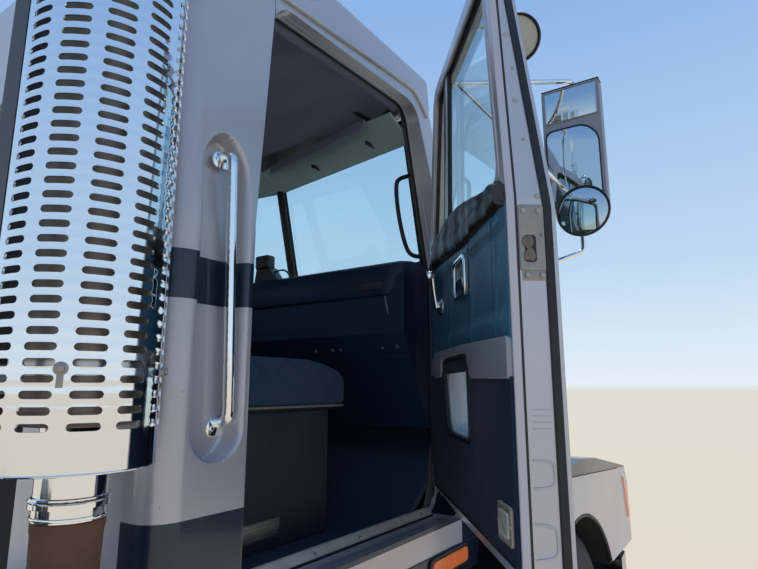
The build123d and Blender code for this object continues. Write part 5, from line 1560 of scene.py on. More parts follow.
    def look_down(self) -> None:
        """Round mirror over the right window, tipped to the ground."""
        axis = Vector((-0.70, 0.45, -0.55)).normalized()
        spot = Vector((1.050, -1.088, 2.607))
        rim = [(0, -0.001), (0.03, 0.0), (0.054, 0.005), (0.0635, 0.014), (0.0655, 0.024), (0.0635, 0.031),
               (0.058, 0.030), (0.0565, 0.026)]
        self.put(Shop.lathe(rim, spot, axis, 48), "look_down_rim", F.RUBBER, Side.RIGHT, SWING)
        face = [(0.057, 0.0265), (0.035, 0.0285), (0, 0.030)]
        self.put(Shop.lathe(face, spot, axis, 48), "look_down_face", F.CREAM, Side.RIGHT, SWING, (), 70)
        stalk = [spot, spot + Vector((0.01, 0.02, 0.045)), (1.078, -0.995, 2.657), (1.080, -0.968, 2.655)]
        self.put(Shop.sweep(stalk, 0.0075, 12), "look_down_stalk", F.CHROME, Side.RIGHT, SWING)


# ---------------------------------------------------------------- door openings
@dataclass
class Openings(Fitting):
    """Scuff plates, seals, jamb ribs, drip rails and side markers of the cab sides."""

    opening: tuple = ((0.692, SILL_Z), (1.663, SILL_Z), (1.663, 2.015), (1.488, 2.683), (0.774, 2.648), (0.692, 2.015))

    def loop(self, y: float, follow: float, grow: float = 0.0, radius: float = 0.07) -> list[tuple]:
        """The opening's outline in space, leaning in by a share of the skin's lean."""
        middle = (1.18, 1.95)
        grown = [(x + math.copysign(grow, x - middle[0]), z + math.copysign(grow, z - middle[1]))
                 for x, z in self.opening]
        points = rounded(grown, radius, 6)
        dense = []
        for a, b in zip(points, points[1:] + points[:1]):
            steps = max(1, int(math.dist(a, b) / 0.12))
            dense += [(a[0] + (b[0] - a[0]) * t / steps, a[1] + (b[1] - a[1]) * t / steps) for t in range(steps)]
        return [(x, y + LEAN * max(0.0, z - LEAN_Z) * follow, z) for x, z in dense]

    def build(self) -> None:
        """Make the pieces of both sides."""
        self.pair(Shop.sweep(self.loop(-0.9880, 0.9, 0.0038), 0.0040, 12, True), "outer_seal", F.RUBBER)
        self.pair(Shop.sweep(self.loop(-0.9165, 0.0, 0.0030), 0.0070, 12, True), "inner_seal", F.RUBBER)
        for k, (y, width) in enumerate(((-0.9345, 0.0022), (-0.950, 0.0030), (-0.966, 0.0024))):
            self.pair(Shop.sweep(self.loop(y, 0.45, 0.0012), width, 8, True), f"jamb_rib_{k}", F.JAMB)
        ring = self.loop(-0.9125, 0.0, 0.012)
        foot = max(range(len(ring)), key=lambda k: (ring[k][0] > 1.6 and ring[k][2] > 1.262) * (9 - ring[k][2]))
        trim = [place for place in ring[foot:] + ring[:foot] if place[2] > 1.262]
        self.pair(Shop.sweep(trim, 0.0085, 8), "inner_edge_trim", F.TRIM)
        scuff = [(-0.9040, 1.2205), (-0.9040, 1.2530), (-0.9060, 1.2565), (-0.9105, 1.2575), (-0.9180, 1.2550),
                 (-0.9370, 1.2385), (-0.9385, 1.2355), (-0.9300, 1.2352), (-0.9140, 1.2205)]
        lace = [(x, -0.9430, 1.2375) for x in np.linspace(0.775, 1.606, 10)]
        self.pair(Shop.sweep(lace, 0.0040, 8), "sill_bead", F.RUBBER)
        xs = np.concatenate([[0.746, 0.749], np.linspace(0.78, 1.590, 9), [1.625, 1.628]])
        ends = {0.746: 0.0015, 1.628: 0.0015}
        plate = Shop.ribbon(xs, lambda x: [(x, y, z - ends.get(float(x), 0.0)) for y, z in scuff])
        self.pair(plate, "scuff_plate", F.SCUFF)
        heads = [Shop.rod((x, -0.9270, 1.2465), (x, -0.9295, 1.2495), 0.0040, 14, 0.001)
                 for x in (0.83, 1.02, 1.21, 1.40, 1.56)]
        self.pair(Shop.join(heads), "scuff_screws", F.ZINC)
        self.side_marker()
        self.pair(Shop.sweep([(x, -SKIN_Y - 0.0004, 1.151 - 0.004 * (x > 1.7)) for x in np.linspace(0.79, 1.796, 12)],
                             0.0022, 8), "skirt_joint", F.RUBBER)
        eaves = ((0.52, 2.655), (0.84, 2.675), (1.15, 2.706), (1.42, 2.733), (1.49, 2.735), (1.565, 2.66))
        drip = [(x, -SKIN_Y + LEAN * (z - LEAN_Z) - 0.004, z) for x, z in eaves]
        self.pair(Shop.sweep(drip, 0.0075, 12), "drip_rail", F.CAB)

    def side_marker(self) -> None:
        """Amber lamp under the door in its dark bezel."""
        bezel = card((1.440, 1.082), (1.702, 1.146), 0.024, 5)
        hole = card((1.452, 1.092), (1.690, 1.137), 0.018, 5)
        self.pair(Shop.panel(on_y(bezel, -SKIN_Y + 0.001), (0, -0.010, 0), [on_y(hole, -SKIN_Y + 0.001)], 0.003, 3),
                  "marker_bezel", F.BLACK)
        lens = Shop.panel(on_y(hole, -SKIN_Y + 0.001), (0, -0.013, 0), (), 0.005, 4)
        ribs = [lens] + [Shop.rod((x, -SKIN_Y - 0.0115, 1.096), (x, -SKIN_Y - 0.0115, 1.133), 0.0016, 8, 0.0004)
                         for x in np.linspace(1.462, 1.680, 19)]
        self.pair(Shop.join(ribs), "marker_lens", F.AMBER)


# ---------------------------------------------------------------- seats
@dataclass
class Seats(Fitting):
    """Cloth seats on dark boxes, with piped edges."""

    places: tuple = (-0.560, 0.520)
    x: tuple = (0.855, 1.380)
    z: tuple = (1.602, 1.744)
    half: float = 0.219
    swell: float = 0.007

    def swollen(self, piece: bpy.types.Object, voxel: float = 0.006) -> bpy.types.Object:
        """Fill a pad by cloth simulation, with each point's move capped.

        Args:
            piece: the slack pad.
            voxel: size of the remeshed faces.

        Returns:
            The filled pad.
        """
        Shop.modify(piece, "REMESH", mode="VOXEL", voxel_size=voxel)
        rest = np.array([v.co[:] for v in piece.data.vertices])
        Shop.pick(piece)
        cloth = piece.modifiers.new("cloth", "CLOTH")
        cloth.settings.quality = 4
        cloth.settings.use_pressure = True
        cloth.settings.uniform_pressure_force = 4.0
        cloth.settings.effector_weights.gravity = 0.0
        cloth.settings.tension_stiffness = 12
        cloth.settings.bending_stiffness = 1.2
        scene = bpy.context.scene
        for number in range(1, 21):
            scene.frame_set(number)
        graph = bpy.context.evaluated_depsgraph_get()
        filled = np.array([v.co[:] for v in piece.evaluated_get(graph).data.vertices])
        piece.modifiers.clear()
        scene.frame_set(1)
        move = filled - rest
        far = np.linalg.norm(move, axis=1, keepdims=True)
        move = move * np.minimum(1.0, self.swell / np.maximum(far, 1e-9))
        for vertex, place in zip(piece.data.vertices, rest + move):
            vertex.co = place
        return Shop.modify(piece, "SMOOTH", factor=0.5, iterations=3)

    def pad(self, rings: list) -> bpy.types.Object:
        """A slack pad from its rings."""
        return self.swollen(Shop.loft(np.array(rings, float)))

    def cushion_ring(self, z: float) -> list[tuple]:
        """Outline of the cushion at a height: full at the piping, domed above."""
        t = (z - self.z[0]) / (self.z[1] - self.z[0])
        inset = 0.002 + 0.095 * max(0.0, (t - 0.52) / 0.48) ** 2.3 + 0.010 * max(0.0, 1 - t / 0.08)
        low, high = (self.x[0] + inset, -self.half + inset), (self.x[1] - inset, self.half - inset)
        return [(x, y, z + (0.005 * (1 - (y / self.half) ** 2) * t)) for x, y in
                card(low, high, 0.075, 8)]

    def build(self) -> None:
        """Make cushions, backs, piping, boxes and slides."""
        rows = np.concatenate([[1.602, 1.606], np.linspace(1.62, 1.70, 5), np.linspace(1.71, 1.742, 6)])
        rings = [self.cushion_ring(z) for z in rows]
        top = np.array(rings[-1], float)
        middle = top.mean(axis=0)
        for share in (0.8, 0.55, 0.3, 0.1):
            ring = middle + (top - middle) * share
            ring[:, 2] = top[:, 2] + 0.005 * (1 - share ** 2)
            rings.append([tuple(p) for p in ring])
        cushion = self.pad(rings)
        back_rings = []
        for t in np.linspace(0, 1, 16):
            z = 1.755 + t * 0.560
            ends = 0.030 * (1 - min(1.0, t / 0.07, (1 - t) / 0.09)) ** 2
            front, rear = 0.842 - 0.068 * t - ends, 0.742 - 0.060 * t + ends * 0.7
            wide = self.half - 0.010 - 0.030 * t ** 3 - ends
            back_rings.append([(x, y, z) for x, y in card((rear, -wide), (front, wide), 0.045, 7)])
        back = self.pad(back_rings)
        for y, word in zip(self.places, ("right", "left")):
            for piece, name, node in ((cushion, "seat_cushion", "seat_cushions"), (back, "seat_back", "seat_backs")):
                made = Shop.copy(piece, Matrix.Translation((0, y, 0)))
                self.lay(made, f"{name}_{word}", F.CLOTH, 180, [node], "seat_fabric")
            self.details(y, word)
        for piece in (cushion, back):
            bpy.data.objects.remove(piece)

    def details(self, y: float, word: str) -> None:
        """Piping, box panels, vent, slides and bracket of one seat."""
        inset = 0.010
        ring = card((self.x[0] + inset, y - self.half + inset),
                                 (self.x[1] - inset, y + self.half - inset), 0.070, 8)
        self.lay(Shop.sweep(on_z(ring, 1.6055), 0.0036, 8, True), f"piping_low_{word}", F.PIPING, 60)
        side = -1 if y < 0 else 1
        out = y + side * 0.190
        box = card((0.898, 1.232), (1.272, 1.592), 0.012)
        parts = [Shop.panel(on_y(box, out), (0, side * 0.006, 0), (), 0.0025, 3),
                 Shop.panel(on_x(card((y - 0.184, 1.232), (y + 0.184, 1.592), 0.012), 1.278),
                            (0.006, 0, 0), (), 0.0025, 3)]
        self.lay(Shop.join(parts), f"seat_box_panels_{word}", F.SEAT_SHELL)
        slat = [Shop.box((0.90, out + side * 0.006, z), (1.06, out + side * 0.011, z + 0.0035), 0.001)
                for z in np.arange(1.262, 1.302, 0.0075)]
        slat.append(Shop.box((0.895, out + side * 0.004, 1.256), (1.066, out + side * 0.008, 1.306), 0.002))
        self.lay(Shop.join(slat), f"seat_vent_{word}", F.ZINC)
        rails = [Shop.box((0.87, y + d, 1.592), (1.36, y + d + 0.03, 1.606), 0.003) for d in (-0.17, 0.14)]
        self.lay(Shop.join(rails), f"seat_slides_{word}", F.FRAME)
        arm = [(1.284, y + 0.17, 1.55), (1.40, y + 0.17, 1.50), (1.42, y + 0.17, 1.33), (1.36, y + 0.17, 1.24),
               (1.286, y + 0.17, 1.226)]
        self.lay(Shop.sweep(arm, 0.011, 12), f"seat_bracket_{word}", F.SEAT_SHELL, 60)


# ---------------------------------------------------------------- inside the cab
@dataclass
class Cabin(Fitting):
    """Dashboard fittings, windscreen frame, liners, mats and pedals."""

    def pane_x(self, y: float, z: float, back: float = 0.0) -> float:
        """How far forward the windscreen is at a width and height."""
        return 1.930 - 0.230 * abs(y) / 0.87 - 0.142 * (z - 2.13) / 0.57 - back

    def build(self) -> None:
        """Make every piece."""
        self.dash()
        self.screen()
        self.liners()
        self.floor()
        self.driver()

    def face(self, z: float) -> float:
        """How far back the dashboard's face is at a height."""
        if z >= 2.04:
            return 1.480 + 0.020 * (z - 2.04) / 0.045
        return 1.480 + 0.160 * max(0.0, 1.85 - z) / 0.33

    def on_face(self, outline: list, out: float) -> list[tuple]:
        """Points given across and up, laid on the face and then a little out of it."""
        return [(self.face(z) - out, y, z) for y, z in outline]

    def dash(self) -> None:
        """Pad, end seam, louvres, knee rail, screws and device holder."""
        pad = []
        for y in np.linspace(-0.905, 0.905, 90):
            ring = [(1.4830, 1.990), (1.4745, 1.9835), (1.4680, 1.9860), (1.4655, 1.9920), (1.4655, 2.040),
                    (1.4685, 2.062), (1.4790, 2.090), (1.4880, 2.1010), (1.5050, 2.1085), (1.5300, 2.1125),
                    (1.6400, 2.1140), (1.6400, 2.1000), (1.5300, 2.0950), (1.5050, 2.0800), (1.4860, 2.040)]
            pad.append([(x + 0.022 * min(1.0, max(0.0, (abs(y) - 0.843 - 0.35 * (z - 1.985)) / 0.022)), y, z)
                        for x, z in ring])
        self.lay(Shop.loft(np.array(pad)), "dash_pad", F.DASH, 60)
        seam = [(self.face(z) - 0.001, y, z) for y, z in ((-0.836, 1.982), (-0.855, 1.89), (-0.874, 1.797))]
        self.lay(Shop.sweep(seam, 0.0024, 8), "dash_end_seam", F.BAND, 60)
        slats = []
        for y0, y1, z0, z1, count in ((-0.838, -0.728, 2.004, 2.042, 11), (-0.722, -0.627, 2.018, 2.046, 1),
                                      (0.20, 0.34, 2.008, 2.048, 12), (0.70, 0.84, 2.008, 2.048, 12)):
            rim = card((y0, z0), (y1, z1), 0.005)
            hole = card((y0 + 0.005, z0 + 0.005), (y1 - 0.005, z1 - 0.005), 0.003)
            slats.append(Shop.panel(on_x(rim, 1.4672), (-0.0045, 0, 0), [on_x(hole, 1.4672)], 0.0012))
            if count > 1:
                slat = Shop.plate([(1.4668, -0.003, z0 + 0.005), (1.4636, 0.002, z0 + 0.005),
                                   (1.4636, 0.002, z1 - 0.005), (1.4668, -0.003, z1 - 0.005)],
                                  (0, 0.0013, 0), 0.0003, 1)
                slats.append(Shop.array(slat, [(0, y, 0) for y in np.linspace(y0 + 0.011, y1 - 0.011, count)]))
        self.lay(Shop.join(slats), "dash_louvres", F.BLACK)
        rail = card((-0.905, 1.760), (0.905, 1.778), 0.005)
        self.lay(Shop.panel(self.on_face(rail, -0.004), (-0.010, 0, 0), (), 0.003, 3), "knee_rail", F.DASH, 60)
        heads = []
        for y in (-0.872, -0.809, -0.62, -0.584, -0.499, 0.25, 0.45, 0.70, 0.85):
            heads.append(Shop.lathe([(0, 0.0030), (0.0035, 0.0026), (0.0052, 0.0006), (0.0052, -0.002)],
                                    (self.face(1.800) - 0.001, y, 1.800), (-1, 0, -0.4), 14))
        self.lay(Shop.join(heads), "dash_screws", F.ZINC)
        foot = rounded([(-0.122, 2.108), (-0.258, 2.108), (-0.240, 2.132), (-0.206, 2.176), (-0.135, 2.180)], 0.008)
        clamp = [Shop.panel(on_x(foot, 1.520), (0.050, 0, 0), (), 0.006, 3),
                 Shop.box((1.510, -0.209, 2.168), (1.560, -0.130, 2.228), 0.010, 3),
                 Shop.sweep([(1.54, -0.215, 2.15), (1.55, -0.262, 2.165), (1.56, -0.292, 2.140),
                              (1.565, -0.300, 2.114)],
                            0.004, 8)]
        self.lay(Shop.join(clamp), "device_holder", F.BLACK, 60)

    def screen(self) -> None:
        """Rubber round the panes, the centre post's cover, and the pillars' trim and grips."""
        post = [(1.9035, 2.1125), (1.9425, 2.1125), (1.7960, 2.7000), (1.7570, 2.7000)]
        self.lay(Shop.panel(on_y(post, -0.0205), (0, 0.041, 0), (), 0.006, 4), "centre_post_cover", F.BLACK, 60)
        line = []
        for y, z in ((0.016, 2.120), (0.50, 2.120), (0.868, 2.121), (0.868, 2.40), (0.868, 2.672), (0.50, 2.683),
                     (0.016, 2.690), (0.016, 2.40)):
            line.append((self.pane_x(y, z), y, z))
        for side in Side:
            place = [(x, y * side.sign, z) for x, y, z in line]
            dense = []
            for a, b in zip(place, place[1:] + place[:1]):
                dense += [tuple(a[k] + (b[k] - a[k]) * t for k in range(3)) for t in (0.0, 0.04, 0.5, 0.96)]
            self.lay(Shop.sweep(dense, 0.0115, 12, True), f"screen_rubber_{side.value}", F.RUBBER, 60)
            trim = [(x, y * side.sign, z) for x, y, z in
                    ((1.672, 0.9150, 2.070), (1.486, 0.9150, 2.690), (1.545, 0.9150, 2.690), (1.790, 0.9150, 2.070))]
            self.lay(Shop.panel(trim, (0, -0.020 * side.sign, 0), (), 0.006, 4), f"pillar_trim_{side.value}",
                     F.TRIM, 60)
            grip = [(1.566, 0.900, 2.448), (1.566, 0.850, 2.452), (1.569, 0.826, 2.430), (1.592, 0.826, 2.300),
                    (1.622, 0.840, 2.180), (1.628, 0.868, 2.150), (1.630, 0.900, 2.146)]
            self.lay(Shop.sweep([(x, y * side.sign, z) for x, y, z in grip], 0.0085, 12), f"pillar_grip_{side.value}",
                     F.BLACK, 60)

    def liners(self) -> None:
        """Header panel, sagging headliner, back trim and visors."""
        for side in Side:
            rings = []
            for y in np.linspace(0.0, 0.893, 14):
                low = 2.627 - 0.053 * y
                front, rear = self.pane_x(y, low, 0.012), self.pane_x(y, low, 0.150)
                high = 2.694 - 0.052 * (y / 0.893) ** 2
                yy = y * side.sign
                rings.append([(front, yy, low), (front - 0.045, yy, low + 0.020), (rear, yy, high),
                              (rear, yy, high + 0.008), (front - 0.04, yy, low + 0.034), (front, yy, low + 0.012)])
            self.lay(Shop.loft(np.array(rings)), f"header_panel_{side.value}", F.HEADER, 60)
            clips = []
            for y in (0.36, 0.72):
                low = 2.627 - 0.053 * y
                x = self.pane_x(y, low, 0.095)
                clips.append(Shop.box((x - 0.010, side.sign * y - 0.005, low + 0.016),
                                      (x + 0.050, side.sign * y + 0.005, low + 0.030), 0.002))
            self.lay(Shop.join(clips), f"visor_clips_{side.value}", F.BLACK)
            visor = [(self.pane_x(y, 2.67, 0.150) - 0.01 * k, side.sign * y, 2.682 - 0.045 * k - 0.03 * (y > 0.5))
                     for y, k in ((0.12, 0), (0.78, 0), (0.78, 1), (0.12, 1))]
            self.lay(Shop.plate(visor, (-0.016, 0, 0.004), 0.006, 3), f"visor_{side.value}", F.LINER, 60)
        grid = []
        for x in np.linspace(0.540, 1.560, 60):
            ring = []
            for y in np.linspace(-0.885, 0.885, 41):
                sag = 0.010 * math.sin((x - 0.54) * 15.4) ** 2 + 0.030 * (abs(y) / 0.885) ** 6
                ring.append((x, y, 2.745 - sag - 0.022 * max(0.0, (x - 1.42) / 0.14) ** 2))
            grid.append(ring)
        liner = Shop.loft(np.array(grid), False, False)
        Shop.modify(liner, "SOLIDIFY", thickness=0.006, offset=1)
        self.lay(liner, "headliner", F.LINER, 60)
        for side in Side:
            roll = [(x, side.sign * 0.884, z) for x, z in ((0.560, 2.655), (0.80, 2.672), (1.10, 2.694), (1.40, 2.712),
                                                          (1.475, 2.700))]
            self.lay(Shop.sweep(roll, 0.027, 16), f"liner_roll_{side.value}", F.LINER, 60)
            strap = [(1.470, side.sign * 0.876, 2.690), (1.500, side.sign * 0.800, 2.672),
                     (1.512, side.sign * 0.740, 2.690), (1.470, side.sign * 0.690, 2.735)]
            self.lay(Shop.sweep(strap, 0.008, 12), f"visor_arm_{side.value}", F.BLACK, 60)
        back = card((-0.895, 1.230), (0.895, 2.690), 0.03)
        hole = card((-0.535, 2.075), (0.535, 2.465), 0.06, 6)
        self.lay(Shop.panel(on_x(back, 0.526), (0.010, 0, 0), [on_x(hole, 0.526)], 0.003, 3), "back_trim", F.LINER, 60)
        welt = Shop.rod((0.537, 0, 1.26), (0.537, 0, 2.04), 0.003, 8)
        self.lay(Shop.array(welt, [(0, y, 0) for y in np.linspace(-0.75, 0.75, 9)]), "back_trim_welts", F.TRIM, 60)

    def floor(self) -> None:
        """Mats with raised ribs, toe boards with carpet, and kick panels."""
        for side in Side:
            s = side.sign
            mat = rounded([(0.545, s * 0.250), (1.735, s * 0.250), (1.735, s * 0.895), (0.545, s * 0.895)], 0.05)
            self.lay(Shop.panel(on_z(mat, 1.2195), (0, 0, 0.0065), (), 0.0025, 3), f"floor_mat_{side.value}", F.FLOOR)
            rib = Shop.rod((0, s * 0.285, 1.2262), (0, s * 0.870, 1.2262), 0.0022, 6, 0.0005)
            ribs = Shop.array(rib, [(x, 0, 0) for x in np.arange(1.31, 1.70, 0.021)])
            self.lay(ribs, f"mat_ribs_{side.value}", F.FLOOR, 60)
            toe = [(1.752, s * 0.25, 1.226), (1.752, s * 0.905, 1.226), (1.752, s * 0.905, 1.790),
                   (1.752, s * 0.25, 1.790)]
            self.lay(Shop.plate(toe, (-0.010, 0, 0), 0.004, 3), f"toe_carpet_{side.value}", F.CARPET, 60)
            slope = [(1.395, 1.2262), (1.440, 1.2310), (1.520, 1.2680), (1.640, 1.3600), (1.715, 1.4260),
                     (1.7425, 1.4420), (1.7425, 1.4100), (1.640, 1.3300), (1.520, 1.2400), (1.440, 1.2205)]
            rows = np.array([[(x, s * y, z) for x, z in slope] for y in (0.2525, 0.2560, 0.50, 0.75, 0.9090, 0.9125)])
            self.lay(Shop.loft(rows), f"toe_board_{side.value}", F.FLOOR, 50)
            kick = [(1.560, s * 0.9145, 1.226), (1.750, s * 0.9145, 1.226), (1.750, s * 0.9145, 1.980),
                    (1.686, s * 0.9145, 1.980), (1.686, s * 0.9145, 1.500), (1.652, s * 0.9145, 1.440),
                    (1.636, s * 0.9145, 1.330), (1.600, s * 0.9145, 1.250)]
            self.lay(Shop.panel(kick, (0, -s * 0.007, 0), (), 0.003, 3), f"kick_panel_{side.value}", F.TRIM, 60)

    def driver(self) -> None:
        """Gauges, switches, pedals and gear lever."""
        rings, faces, ticks = [], [], []
        for y, z, radius in ((0.42, 1.924, 0.050), (0.62, 1.924, 0.050), (0.32, 1.948, 0.025), (0.32, 1.888, 0.025),
                             (0.72, 1.948, 0.025), (0.72, 1.888, 0.025), (0.52, 1.890, 0.022), (0.52, 1.948, 0.022)):
            x = self.face(z)
            rim = [(radius * 0.86, -0.002), (radius * 0.86, 0.004), (radius * 0.92, 0.008), (radius, 0.006),
                   (radius * 1.04, -0.002)]
            rings.append(Shop.lathe(rim, (x, y, z), (-1, 0, 0), 36))
            dial = [(0, 0.002), (radius * 0.86, 0.002), (radius * 0.86, -0.002)]
            faces.append(Shop.lathe(dial, (x, y, z), (-1, 0, 0), 36))
            tick = Shop.rod((-0.002, 0, radius * 0.66), (-0.002, 0, radius * 0.78), 0.0008, 6, 0.0001)
            ticks.append(Shop.array(tick, [Matrix.Translation((x, y, z)) @ Matrix.Rotation(turn, 4, "X")
                                           for turn in np.linspace(-2.2, 2.2, 11)]))
        self.lay(Shop.join(rings), "gauge_rims", F.CHROME)
        self.lay(Shop.join(faces), "gauge_faces", F.BLACK)
        self.lay(Shop.join(ticks), "gauge_ticks", F.CREAM)
        key = Shop.box((1.4735, 0, 1.880), (1.4815, 0.016, 1.906), 0.002)
        self.lay(Shop.array(key, [(0, y, 0) for y in np.arange(0.03, 0.27, 0.027)]), "dash_switches", F.CREAM)
        pedals = []
        for y, wide in ((0.36, 0.03), (0.48, 0.038), (0.62, 0.025)):
            pedals.append(Shop.box((1.560, y - wide, 1.330), (1.572, y + wide, 1.420), 0.004))
            pedals.append(Shop.sweep([(1.57, y, 1.375), (1.62, y, 1.40), (1.68, y, 1.50), (1.742, y, 1.56)], 0.008, 8))
        self.lay(Shop.join(pedals), "pedals", F.CAST)
        lever = [(1.20, 0.10, 1.400), (1.19, 0.12, 1.55), (1.16, 0.16, 1.75), (1.15, 0.175, 1.835)]
        boot = [(0.075, 0.0), (0.066, 0.018), (0.050, 0.022), (0.048, 0.036), (0.034, 0.042), (0.032, 0.056),
                (0.018, 0.070), (0.013, 0.090)]
        self.lay(Shop.sweep(lever, 0.011, 12), "gear_lever", F.CHROME, 60)
        self.lay(Shop.join([Shop.lathe(boot, (1.20, 0.10, 1.398), (0, 0, 1), 32),
                            Shop.lathe([(0, 0.03), (0.02, 0.026), (0.028, 0.01), (0.026, -0.012), (0.012, -0.026)],
                                       (1.148, 0.177, 1.848), (0, 0, 1), 24)]), "gear_boot_and_knob", F.BLACK, 60)


# ---------------------------------------------------------------- hood and front
@dataclass
class Front(Fitting):
    """Headlamps, grille, hood fittings, fender lips, fog lamps and roof markers."""

    BODY = "hood"
    SMOOTH = 45
    front_x: float = 3.440
    arch: tuple = (STEER_X, AXLE_Z, 0.600)

    def build(self) -> None:
        """Make every piece."""
        x = self.front_x
        for y0, y1, name in ((-1.040, -0.870, "outer"), (-0.860, -0.700, "inner")):
            ring = card((y0, 0.945), (y1, 1.095), 0.02, 5)
            hole = card((y0 + 0.010, 0.955), (y1 - 0.010, 1.085), 0.014, 5)
            self.pair(Shop.panel(on_x(ring, x - 0.014), (0.008, 0, 0), [on_x(hole, x - 0.014)], 0.003, 3),
                      f"lamp_bezel_{name}", F.CHROME)
            flute = Shop.rod((x - 0.010, 0, 0.960), (x - 0.010, 0, 1.080), 0.0028, 8, 0.0005)
            flutes = Shop.array(flute, [(0, y, 0) for y in np.arange(y0 + 0.016, y1 - 0.012, 0.0105)])
            self.pair(flutes, f"lamp_flutes_{name}", F.LENS)
            bowl = [(0.062, 0.0), (0.055, -0.020), (0.035, -0.040), (0.012, -0.048), (0, -0.048)]
            self.pair(Shop.lathe(bowl, (x - 0.016, (y0 + y1) / 2, 1.020), (1, 0, 0), 32), f"lamp_bowl_{name}", F.CHROME)
        arch_x, arch_z, arch_r = self.arch
        lip = [(arch_x + (arch_r - 0.003) * math.cos(a), -1.2045, arch_z + (arch_r - 0.003) * math.sin(a))
               for a in np.linspace(math.radians(30), math.radians(150), 25)]
        self.pair(Shop.sweep(lip, 0.009, 12), "arch_lip", F.RUBBER)
        arc = [(arch_x + 0.607 * math.cos(a), arch_z + 0.607 * math.sin(a))
               for a in np.linspace(math.radians(27), math.radians(153), 30)]
        outer = [(arch_x + 0.611 * math.cos(a), arch_z + 0.611 * math.sin(a))
                 for a in np.linspace(math.radians(153), math.radians(27), 30)]
        self.pair(Shop.panel(on_y(arc + outer, -1.196), (0, 0.560, 0), (), 0), "wheel_well", F.RUBBER)
        self.pair(Shop.box((2.985, -1.190, 0.822), (2.990, -0.640, 1.235), 0.001), "splash_panel", F.RUBBER)
        start, height, fall = FENDER_LINE
        stripe = [(x, -1.2102, height + fall * (x - start)) for x in np.linspace(1.96, 3.20, 8)]
        self.pair(Shop.sweep(stripe, 0.0026, 8), "fender_stripe_edge", F.RUBBER)
        lamp = rounded([(3.300, 1.180), (3.352, 1.166), (3.424, 0.952), (3.376, 0.940)], 0.016, 5)
        self.pair(Shop.panel(on_y(lamp, -1.2095), (0, -0.0068, 0), (), 0.002, 3), "fender_lamp", F.AMBER)
        edge = rounded([(3.292, 1.188), (3.358, 1.172), (3.432, 0.946), (3.370, 0.932)], 0.018, 5)
        self.pair(Shop.panel(on_y(edge, -1.2095), (0, -0.0040, 0), [on_y(lamp, -1.2095)], 0.001), "fender_lamp_rim",
                  F.CHROME)
        bar = Shop.box((x - 0.034, -0.0035, 0.937), (x - 0.020, 0.0035, 1.403), 0.0012)
        bars = [Shop.array(bar, [(0, y, 0) for y in np.linspace(-0.50, 0.50, 21)])]
        rim = card((-0.556, 0.904), (0.556, 1.436), 0.03, 5)
        hole = card((-0.528, 0.932), (0.528, 1.408), 0.02, 5)
        bars.append(Shop.panel(on_x(rim, x - 0.021), (0.014, 0, 0), [on_x(hole, x - 0.021)], 0.005, 4))
        self.lay(Shop.join(bars), "grille_bars", F.CHROME)
        wires = [Shop.array(Shop.rod((x - 0.075, 0, 0.93), (x - 0.075, 0, 1.41), 0.0012, 6, 0.0002),
                            [(0, y, 0) for y in np.linspace(-0.525, 0.525, 70)]),
                 Shop.array(Shop.rod((x - 0.077, -0.53, 0), (x - 0.077, 0.53, 0), 0.0012, 6, 0.0002),
                            [(0, 0, z) for z in np.linspace(0.935, 1.405, 32)])]
        self.lay(Shop.join(wires), "bug_screen", F.FRAME, 0)
        latch = [Shop.box((1.975, -0.9035, 1.470), (2.035, -0.8975, 1.500), 0.003),
                 Shop.sweep([(2.00, -0.905, 1.485), (2.00, -0.912, 1.46), (2.00, -0.910, 1.405)], 0.009, 12),
                 Shop.box((1.985, -0.912, 1.372), (2.015, -0.898, 1.404), 0.004)]
        self.pair(Shop.join(latch), "hood_latch", F.RUBBER)
        grip = [(3.40, -0.24, 1.545), (3.425, -0.22, 1.556), (3.428, 0.0, 1.560), (3.425, 0.22, 1.556),
                (3.40, 0.24, 1.545)]
        self.lay(Shop.sweep(grip, 0.009, 12), "hood_grip", F.CHROME, 60)
        vents = []
        for k in range(6):
            vx = 2.12 + k * 0.045
            vents.append(Shop.plate([(vx, -0.885, 1.63), (vx + 0.02, -0.895, 1.63), (vx + 0.02, -0.893, 1.78),
                                     (vx, -0.883, 1.78)], (0.002, -0.006, 0), 0.001, 1))
        self.pair(Shop.join(vents), "hood_vents", F.BLACK)
        fog = [(0, 0.012), (0.045, 0.009), (0.058, 0.0), (0.060, -0.02), (0.066, -0.02), (0.067, 0.004), (0.064, 0.008),
               (0.058, 0.006)]
        self.pair(Shop.lathe(fog, (3.438, -0.620, 0.620), (1, 0, 0), 40), "fog_lamp", F.LENS, body="chassis")
        markers = []
        for y in (-0.72, -0.20, 0.0, 0.20, 0.72):
            base = [(0.048, 0.0), (0.046, 0.006), (0.030, 0.014), (0.012, 0.018), (0, 0.019)]
            markers.append(Shop.lathe(base, (1.690 - 0.2295 * abs(y), y, 2.8590), (0, 0, 1), 28))
        self.lay(Shop.join(markers), "roof_markers", F.AMBER, body="chassis")


